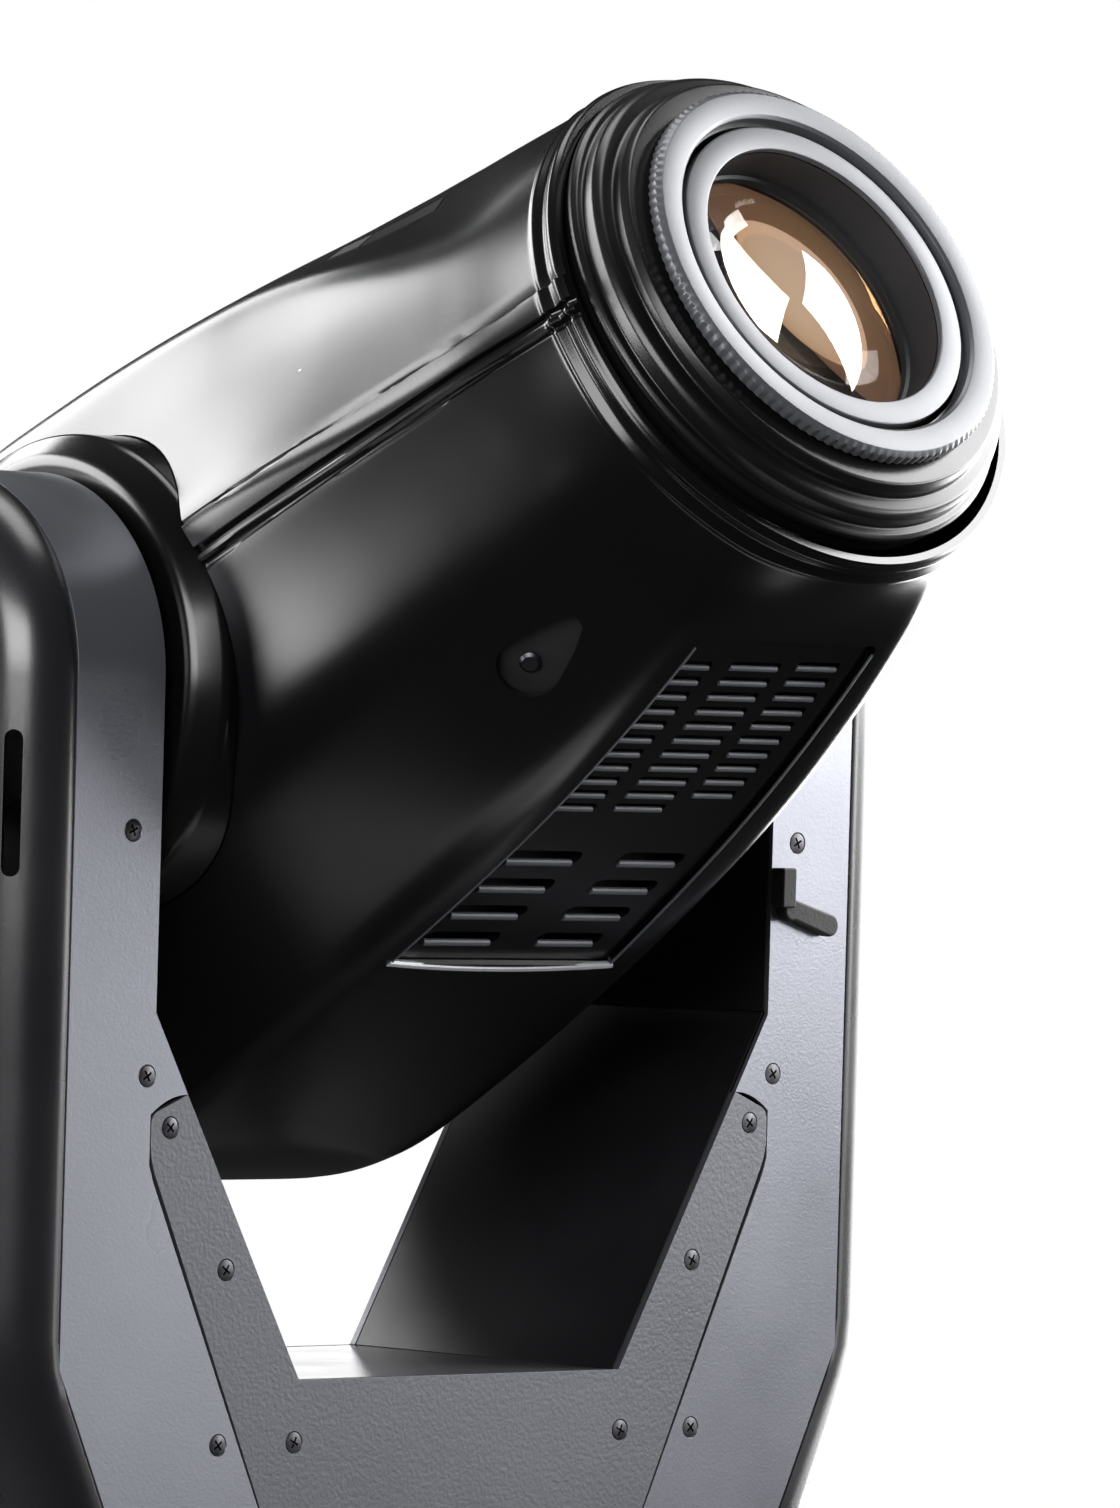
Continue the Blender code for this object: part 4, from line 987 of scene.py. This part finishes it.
def inner_lenses(back):
    """The lens group behind the front lens; its warm light is painted, from the emission of its materials."""
    for number, (radius, depth, bulge, look) in enumerate(
            ((0.050, 0.004, 0.016, "optic"), (0.0585, 0.020, -0.010, "optic_rim"))):
        outline = [(0, back - depth - 0.018)]
        outline.append((radius, back - depth - 0.018))
        ball = (radius ** 2 + bulge ** 2) / (2 * abs(bulge))
        turn = 1 if bulge > 0 else -1
        low = back - depth - abs(bulge)
        for k in range(0, 25):
            r = radius * (1 - k / 24)
            rise = sqrt(ball ** 2 - r ** 2) - (ball - abs(bulge))
            outline.append((r, low + (rise if turn > 0 else abs(bulge) - rise)))
        head_piece(f"inner_lens_{number + 1}", turned(outline, 96), look)


def trim_ring(top):
    """Trim ring with fine ribs on its side, and the dark groove inside its face."""
    sides = 480
    rows = []
    profile = rounded([
        (LIP_RADIUS + 0.0022, top + 0.0004), (TRIM_RADIUS - 0.0022, top + 0.0004),
        (TRIM_RADIUS - 0.0010, top + 0.0016), (TRIM_RADIUS, top + 0.0020),
        (TRIM_RADIUS, HEAD_FRONT + 0.0006), (TRIM_RADIUS - 0.0019, HEAD_FRONT + 0.0025),
        (0.0702, HEAD_FRONT + 0.0021), (0.0690, HEAD_FRONT + 0.0010),
        (0.0690, HEAD_FRONT - 0.0035), (LIP_RADIUS + 0.0022, HEAD_FRONT - 0.0035),
    ], [0, 0.0003, 0.0002, 0.0002, 0.0004, 0.0006, 0.0005, 0.0003, 0, 0], 3)
    for k in range(sides):
        angle = 2 * pi * k / sides
        rib = 0.00028 * (1 if k % 4 < 2 else -1)
        row = []
        for radius, height in profile:
            side = smooth(TRIM_RADIUS - 0.0012, TRIM_RADIUS - 0.0002, radius)
            r = radius + rib * side
            row.append((r * cos(angle), r * sin(angle), height))
        rows.append(row)
    shape, verts = grid(rows, closed=True, wrap=True)
    head_piece("trim_ring", shape, "trim", node="trim_ring")
    lip = rounded([(LIP_BORE, HEAD_FRONT), (LIP_RADIUS, HEAD_FRONT),
                   (LIP_RADIUS, HEAD_FRONT - 0.0048), (LIP_BORE + 0.0032, HEAD_FRONT - 0.0048),
                   (LIP_BORE, HEAD_FRONT - 0.0022)], [0.0006, 0.0008, 0, 0, 0.0004], 4)
    head_piece("lens_lip", turned(lip, 160), "trim")


def rear_cap():
    """Tail: the skin draws in to a flat back with round air holes."""
    levels = ((SHELL_REAR - 0.0003, 0.0), (SHELL_REAR - 0.0020, 0.0008),
              (SHELL_REAR - 0.0060, 0.0040), (SHELL_REAR - 0.0100, 0.0095),
              (-HEAD_REAR + 0.0025, 0.0165), (-HEAD_REAR + 0.0008, 0.0200),
              (-HEAD_REAR, 0.0250))
    half = [90 - 3 * k for k in range(31)]
    rows = []
    for height, inset in levels:
        rows.append(tail_ring(half, height, inset))
    inner = []
    for height, inset in reversed(levels):
        inner.append(tail_ring(half, min(height + SHELL, SHELL_REAR - 0.0003), inset + SHELL))
    shape, verts = grid(rows + inner, closed=True)
    # The flat back is closed outside and inside; the band between the two is taken out again.
    outer_end, inner_end = verts[len(rows) - 1], verts[len(rows)]
    shape.faces.new(outer_end)
    shape.faces.new(inner_end)
    for i in range(len(verts[0])):
        j = (i + 1) % len(verts[0])
        shape.faces.new((verts[0][i], verts[0][j], verts[-1][j], verts[-1][i]))
    ends = set(outer_end + inner_end)
    drop = [face for face in shape.faces if len(face.verts) == 4 and set(face.verts) <= ends]
    bmesh.ops.delete(shape, geom=drop, context="FACES_ONLY")
    made = head_piece("rear_cap", shape, "head", node="rear_cap")
    holes = []
    for radius, count in ((0.016, 6), (0.030, 12), (0.044, 18), (0.058, 24)):
        for k in range(count):
            angle = 2 * pi * k / count
            hole = turned([(0, -0.01), (0.0042, -0.01), (0.0042, 0.01), (0, 0.01)], 12)
            place = (radius * cos(angle), radius * sin(angle), -HEAD_REAR)
            holes.append(moved(hole, HEAD @ Matrix.Translation(place)))
    cut(made, [joined(holes)])


def tail_ring(half, height, inset):
    """One ring round the whole head at the tail."""
    lower = [cover_point(a, SHELL_REAR, -1, inset, False) for a in half]
    lower += [cover_point(-a, SHELL_REAR, -1, inset, False) for a in reversed(half[:-1])]
    upper = [cover_point(-a, SHELL_REAR, 1, inset, False) for a in half[1:]]
    upper += [cover_point(a, SHELL_REAR, 1, inset, False) for a in reversed(half[1:-1])]
    return [(x, y, height) for x, y, _ in lower + upper]


RAIL_ROOM = ((-0.126, -0.023, -0.104), (0.126, 0.023, 0.104))      # space of the chassis rails


def pivot_bosses():
    """Round bosses on the head's sides, each notched inside for the chassis rails."""
    for name, side in (("left", -1), ("right", 1)):
        face = HEAD_HALF - 0.0002
        outline = rounded([
            (0.060, face), (0.060, HEAD_HALF - 0.018), (BOSS_RADIUS - 0.003, HEAD_HALF - 0.018),
            (BOSS_RADIUS - 0.003, HEAD_HALF - 0.052), (BOSS_RADIUS, HEAD_HALF - 0.052),
            (BOSS_RADIUS, HEAD_HALF - 0.0115), (BOSS_RADIUS - 0.0095, face)],
            [0.0005, 0.0005, 0.001, 0.0005, 0.0005, 0.007, 0.008], 8)
        turn = Matrix.Rotation(side * pi / 2, 4, "Y")
        rails = box(*RAIL_ROOM)
        made = finish_piece(f"pivot_boss_{name}", turned(outline, 128), "head", "head",
                            HEAD @ turn, node=f"pivot_boss_{name}")
        cut(made, [moved(rails, HEAD)])


# ---------------------------------------------------------------- yoke

def inner_edge(z):
    """Inner edge of the painted plate at a height below the tilt axis, right arm."""
    drop = -z
    if drop <= KINK_DROP:
        return ARM_IN
    if drop <= GUSSET_TOP:
        return ARM_IN - (drop - KINK_DROP) * WEDGE
    top = ARM_IN - (GUSSET_TOP - KINK_DROP) * WEDGE
    shoulder = GUSSET_TOP + 0.0075
    if drop <= shoulder:
        return top + (GUSSET_HALF - top) * sqrt((drop - GUSSET_TOP) / 0.0075) + 0.0004
    waist = shoulder + 0.017
    if drop <= waist:
        return GUSSET_HALF + 0.0004
    share = (drop - waist) / (YOKE_DROP - waist)
    ease = max(0.0, share - 0.02) / 0.98
    return GUSSET_HALF + (GUSSET_FOOT - GUSSET_HALF) * ease + 0.0004


def outer_edge(z):
    return ARM_OUT - max(0.0, -z - TAPER_DROP) * (ARM_OUT - FOOT_HALF) / (YOKE_DROP - TAPER_DROP)


def arm_path():
    """Centre line of the painted strip: (y, z, outward normal) from the front foot over the top."""
    drops = [YOKE_DROP, 0.35, 0.325, 0.30, 0.275, TAPER_DROP + 0.002, TAPER_DROP, 0.24, 0.22,
             0.20, 0.19, 0.1835, 0.1825, 0.1815, 0.180, 0.173, 0.1645, 0.1635, 0.1625, 0.161,
             0.1595, 0.1582, 0.1574, 0.1570, 0.150, 0.140, 0.1275, 0.126, 0.1245, 0.10, 0.07,
             0.035]
    front = [(-HALF_DEPTH, -d, (-1, 0)) for d in drops]
    rear = [(HALF_DEPTH, -d, (1, 0)) for d in reversed(drops)]
    top = []
    for y, z in arc((0, 0), HALF_DEPTH, 180, 0, 48):
        top.append((y, z, (y / HALF_DEPTH, z / HALF_DEPTH)))
    return front + top + rear


def arm_plates():
    for name, side in (("left", -1), ("right", 1)):
        rows = []
        for y, z, (ny, nz) in arm_path():
            low, high = inner_edge(z), outer_edge(z)
            back = (y - ny * PLATE, z - nz * PLATE)
            rows.append([(side * low, y, z), (side * high, y, z),
                         (side * high, *back), (side * low, *back)])
        made = yoke_piece(f"arm_plate_{name}", lofted(rows), "paint",
                          node=f"arm_plate_{name}", bevel=0.0004)
        cut(made, [joined([countersink(side * x, z) for x, z in PAINT_SCREWS])])


PAINT_SCREWS = ((0.1776, -0.0572), (0.1672, -0.1499), (0.1262, -0.2906))
GUSSET_SCREWS = ((0.1548, -0.1695), (0.1245, -0.2239), (0.0871, -0.2906))
SCREW_RADIUS = 0.0040


def countersink(x, z):
    """Holes for one screw position, on the front and on the rear."""
    tools = []
    for side in (-1, 1):
        tool = turned([(0, -0.004), (0.0022, -0.004), (0.0022, -0.0021),
                       (SCREW_RADIUS + 0.0004, -0.0002), (SCREW_RADIUS + 0.0004, 0.002),
                       (0, 0.002)], 32)
        turn = Matrix.Rotation(side * -pi / 2, 4, "X")
        tools.append(moved(tool, YOKE @ Matrix.Translation((x, side * HALF_DEPTH, z)) @ turn))
    return joined(tools)


def screws():
    """Cross-head countersunk screws on both faces of the yoke."""
    heads = []
    for x, z in PAINT_SCREWS + GUSSET_SCREWS:
        for mirror in (-1, 1):
            for side in (-1, 1):
                heads.append((mirror * x, side * HALF_DEPTH, z, side))
    for number, (x, y, z, side) in enumerate(heads):
        profile = rounded([(0, -0.0030), (0.0018, -0.0030), (0.0018, -0.0021),
                           (SCREW_RADIUS, -0.0004), (SCREW_RADIUS, -0.0001), (0, 0.0003)],
                          [0, 0, 0, 0.0001, 0.0002, 0], 3)
        turn = Matrix.Rotation(side * -pi / 2, 4, "X")
        place = YOKE @ Matrix.Translation((x, y, z)) @ turn
        place = place @ Matrix.Rotation(radians(23 + 47 * number), 4, "Z")
        made = finish_piece(f"screw_{number + 1:02d}", turned(profile, 32), "screw", "yoke", place)
        for long, thin in ((0.0024, 0.00045), (0.00045, 0.0024)):
            cut(made, [moved(box((-long, -thin, -0.0012), (long, thin, 0.002)), place)])


def gusset_outline():
    top = ARM_IN - (GUSSET_TOP - KINK_DROP) * WEDGE
    right = [(GUSSET_FOOT, -YOKE_DROP), (GUSSET_HALF, -GUSSET_TOP - 0.0245),
             (GUSSET_HALF, -GUSSET_TOP - 0.0075), (top, -GUSSET_TOP), (BEAM_HALF, -BEAM_DROP)]
    radii = [0, 0.03, 0.006, 0.0006, 0.0015]
    return rounded(right + mirrored(right), radii + radii[::-1], 7)


def gusset_plates():
    for name, side in (("front", -1), ("rear", 1)):
        shape = prism(gusset_outline(), side * HALF_DEPTH, side * (HALF_DEPTH - 0.003))
        made = yoke_piece(f"gusset_plate_{name}", shape, "gusset",
                          node=f"gusset_plate_{name}", bevel=0.0006)
        holes = [countersink(mirror * x, z) for x, z in GUSSET_SCREWS for mirror in (-1, 1)]
        cut(made, [joined(holes)])


def inner_panels():
    """Black cheeks of the arms, bent in below to meet the beam."""
    for name, side in (("left", -1), ("right", 1)):
        room = HALF_DEPTH - PLATE - 0.0003
        deep = HALF_DEPTH - 0.0033
        outline = arc((0, 0), room, 0, 180, 60) + [(-room, -KINK_DROP + 0.001),
                                                   (room, -KINK_DROP + 0.001)]
        cheek = prism(outline, side * ARM_IN, side * (ARM_IN + PLATE), "YZ")
        made = yoke_piece(f"inner_panel_{name}", cheek, "sheet", node=f"inner_panel_{name}",
                          bevel=0.0004)
        bore = moved(turned([(0, -0.3), (0.0256, -0.3), (0.0256, 0.3), (0, 0.3)], 64),
                     YOKE @ Matrix.Rotation(pi / 2, 4, "Y"))
        cut(made, [bore])
        bend = rounded([(ARM_IN, -KINK_DROP + 0.0008), (ARM_IN, -KINK_DROP),
                        (BEAM_HALF, -BEAM_DROP), (BEAM_HALF + PLATE * 1.2, -BEAM_DROP),
                        (ARM_IN + PLATE, -KINK_DROP), (ARM_IN + PLATE, -KINK_DROP + 0.0008)],
                       [0, 0.003, 0, 0, 0.003, 0], 5)
        if side < 0:
            bend = mirrored(bend)
        yoke_piece(f"slope_panel_{name}", prism(bend, -deep, deep), "sheet", bevel=0.0004)
    deep = HALF_DEPTH - 0.0033
    top = box((-BEAM_HALF + 0.0004, -deep, -BEAM_DROP - PLATE),
              (BEAM_HALF - 0.0004, deep, -BEAM_DROP))
    yoke_piece("beam_top", top, "beam", node="beam_top", bevel=0.0004)


COVER_BULGE = COVER_OUT - ARM_OUT
COVER_TOP_STEPS = 56
COVER_FOOT_STEPS = 12
COVER_EDGE_STEPS = 14


def cover_ring(inward, outward):
    """Outline of an outer cover's section: inward from its edge, outward from the arm."""
    radius = HALF_DEPTH - inward
    foot = -YOKE_DROP + 0.002 + inward
    points = arc((0, 0), radius, 0, 180, COVER_TOP_STEPS)
    flank = [-0.03 * k for k in range(1, 8)] + [-0.232, -0.248, -TAPER_DROP, -0.272, -0.29,
                                                -0.32, foot]
    points += [(-radius, z) for z in flank]
    points += [(radius * (1 - 2 * k / COVER_FOOT_STEPS), foot) for k in range(1, COVER_FOOT_STEPS)]
    points += [(radius, z) for z in reversed(flank)]
    return [(outward + outer_edge_soft(z), y, z) for y, z in points]


def outer_edge_soft(z):
    """The arm's outer edge with its bend at the taper rounded."""
    below = -z - TAPER_DROP
    slope = (ARM_OUT - FOOT_HALF) / (YOKE_DROP - TAPER_DROP)
    width = 0.012
    if below < -width:
        return ARM_OUT
    if below > width:
        return ARM_OUT - below * slope
    return ARM_OUT - slope * (below + width) ** 2 / (4 * width)


def outer_covers():
    """Moulded covers with a large round edge and an upright slot in each of its flanks."""
    for name, side in (("left", -1), ("right", 1)):
        rows = [cover_ring(0.0004, 0.0004), cover_ring(0.0, 0.0012)]
        turns = [pi / 2 * k / COVER_EDGE_STEPS for k in range(1, COVER_EDGE_STEPS + 1)]
        for angle in turns:
            inward = COVER_BULGE * 0.92 * (1 - cos(angle))
            rows.append(cover_ring(inward, 0.0012 + (COVER_BULGE - 0.0012) * sin(angle)))
        caps = len(rows) - 1
        rows.append(cover_ring(COVER_BULGE * 0.92 + 0.001, COVER_BULGE - SHELL))
        for angle in reversed(turns[:-1]):
            inward = COVER_BULGE * 0.92 * (1 - cos(angle)) + SHELL
            rows.append(cover_ring(inward, (COVER_BULGE - SHELL) * sin(angle)))
        rows.append(cover_ring(SHELL, 0.0004))
        rows = [[(side * x, y, z) for x, y, z in row] for row in rows]
        shape = bmesh.new()
        verts = [[shape.verts.new(p) for p in row] for row in rows]
        count = len(verts[0])
        for index, (first, second) in enumerate(zip(verts, verts[1:] + verts[:1])):
            if index == caps:
                continue
            for i in range(count):
                j = (i + 1) % count
                shape.faces.new((first[i], first[j], second[j], second[i]))
        fill_side(shape, verts[caps])
        fill_side(shape, verts[caps + 1])
        made = yoke_piece(f"outer_cover_{name}", shape, "cover", node=f"outer_cover_{name}")
        cut(made, [slot_recess(side, end) for end in (-1, 1)])


def fill_side(shape, ring):
    """Fill a cover's flat side with strips between its two flanks, level by level."""
    top = COVER_TOP_STEPS + 1
    foot_end = len(ring) - (len(ring) - top - COVER_FOOT_STEPS + 1) // 2
    foot_start = foot_end - COVER_FOOT_STEPS + 1
    left = ring[top:foot_start]
    right = list(reversed(ring[foot_end:]))
    shape.faces.new(ring[:top])
    shape.faces.new((ring[0], ring[top - 1], left[0], right[0]))
    for (a, b), (c, d) in zip(zip(left, left[1:]), zip(right, right[1:])):
        if b is left[-1]:
            shape.faces.new([a, b] + ring[foot_start:foot_end] + [d, c])
        else:
            shape.faces.new((a, b, d, c))


def slot_recess(side, end):
    """Upright rounded slot in the round edge of a cover."""
    outline = arc((0, -0.024), 0.0036, 0, 180, 10) + arc((0, -0.072), 0.0036, 180, 360, 10)
    tool = prism(outline, -0.012, 0.012, "XZ")
    turn = Matrix.Rotation(side * end * radians(-54), 4, "Z")
    x = side * (ARM_OUT + COVER_BULGE * 0.78)
    y = end * (HALF_DEPTH - COVER_BULGE * 0.38)
    return moved(tool, YOKE @ Matrix.Translation((x, y, 0)) @ turn)


def tilt_lock():
    """Lock lever on its pivot, and the block on the arm's edge that it works."""
    y = -HALF_DEPTH - 0.0063
    outline = arc((0, 0), 0.0045, 70, 290, 14) + arc((0.022, -0.006), 0.0045, -100, 70, 12)
    lever = prism(outline, y, y + 0.006, "XZ")
    place = YOKE @ Matrix.Translation((ARM_IN + 0.0065, 0, -0.084))
    finish_piece("tilt_lock_lever", lever, "rubber", "tilt_lock", place,
                 node="tilt_lock_lever", bevel=0.0012, segments=3)
    block = box((ARM_IN - 0.0006, y - 0.0012, -0.0830), (ARM_IN + 0.0070, -HALF_DEPTH, -0.0672))
    yoke_piece("tilt_lock_block", block, "rubber", bevel=0.0008)


# ---------------------------------------------------------------- base

BASE_LOOKS = [                # node, look, width of its rounded edges
    ("base_housing", "base", 0.0022), ("rear_panel", "sheet", 0.0008),
    ("power_inlet", "base", 0.0010), ("power_switch", "base", 0.0008),
    ("data_socket_in", "steel", 0.0006), ("data_socket_out", "steel", 0.0006),
    ("display_panel", "panel", 0.0010), ("carry_handle_left", "rubber", 0.0022),
    ("carry_handle_right", "rubber", 0.0022), ("base_plate", "sheet", 0.0008),
]
BASE_LOOKS += [(f"menu_button_{number}", "marks", 0.0009) for number in range(1, 5)]
BASE_LOOKS += [(f"foot_{number}", "rubber", 0.0015) for number in range(1, 5)]


def base_pieces():
    """The base's pieces with the rounded edges of the real mouldings."""
    bodies = {node: body for body, nodes in frame["record"]["behaviour"]["bodies"].items()
              for node in nodes}
    for name, look, width in BASE_LOOKS:
        shape = bmesh.new()
        source = frame["nodes"][name]
        shape.from_mesh(source.data)
        shape.transform(source.matrix_world)
        bmesh.ops.remove_doubles(shape, verts=shape.verts, dist=1e-6)
        flat = [e for e in shape.edges if e.calc_face_angle(1.0) < radians(1)]
        bmesh.ops.dissolve_edges(shape, edges=flat, use_verts=False)
        slot = next(row["material_slot"] for row in frame["record"]["subparts"]
                    if row["node"] == name)
        finish_piece(f"{name}_look", shape, look, bodies[name], HERE, node=name, slot=slot,
                     bevel=width, segments=3)
    base_screen()


def base_screen():
    """Screen glass and four status lights on the control panel."""
    low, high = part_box("display_panel")
    middle = (low + high) / 2
    face = low.y
    width = (high.x - low.x) * 0.40
    tall = (high.z - low.z) * 0.52
    left = low.x + (high.x - low.x) * 0.07
    glass = prism(rounded([(left, middle.z - tall / 2), (left + width, middle.z - tall / 2),
                           (left + width, middle.z + tall / 2), (left, middle.z + tall / 2)],
                          0.003, 5), face - 0.0002, face + 0.0006)
    finish_piece("screen_glass", glass, "screen", "base", HERE, bevel=0.0002)
    lamps = []
    for k in range(4):
        dot = turned([(0, 0), (0.0016, 0), (0.0012, 0.0005), (0, 0.0006)], 16)
        place = Matrix.Translation((left + 0.006 + 0.009 * k, face, middle.z - tall * 0.72))
        lamps.append(moved(dot, place @ Matrix.Rotation(pi / 2, 4, "X")))
    finish_piece("status_lights", joined(lamps), "marks", "base", HERE)


# ---------------------------------------------------------------- finish

def dress_nodes():
    """Materials for the CAD nodes that stay in view."""
    for look, names in NODE_LOOKS.items():
        for name in names:
            node = frame["nodes"][name]
            node.data.materials.clear()
            node.data.materials.append(MATERIALS[look])


def write_sizes():
    import json


dress_nodes()
stage()
lights()
head_covers()
teardrops()
top_inserts()
vent_panel()
nose()
rear_cap()
pivot_bosses()
arm_plates()
gusset_plates()
screws()
inner_panels()
outer_covers()
tilt_lock()
base_pieces()
write_sizes()
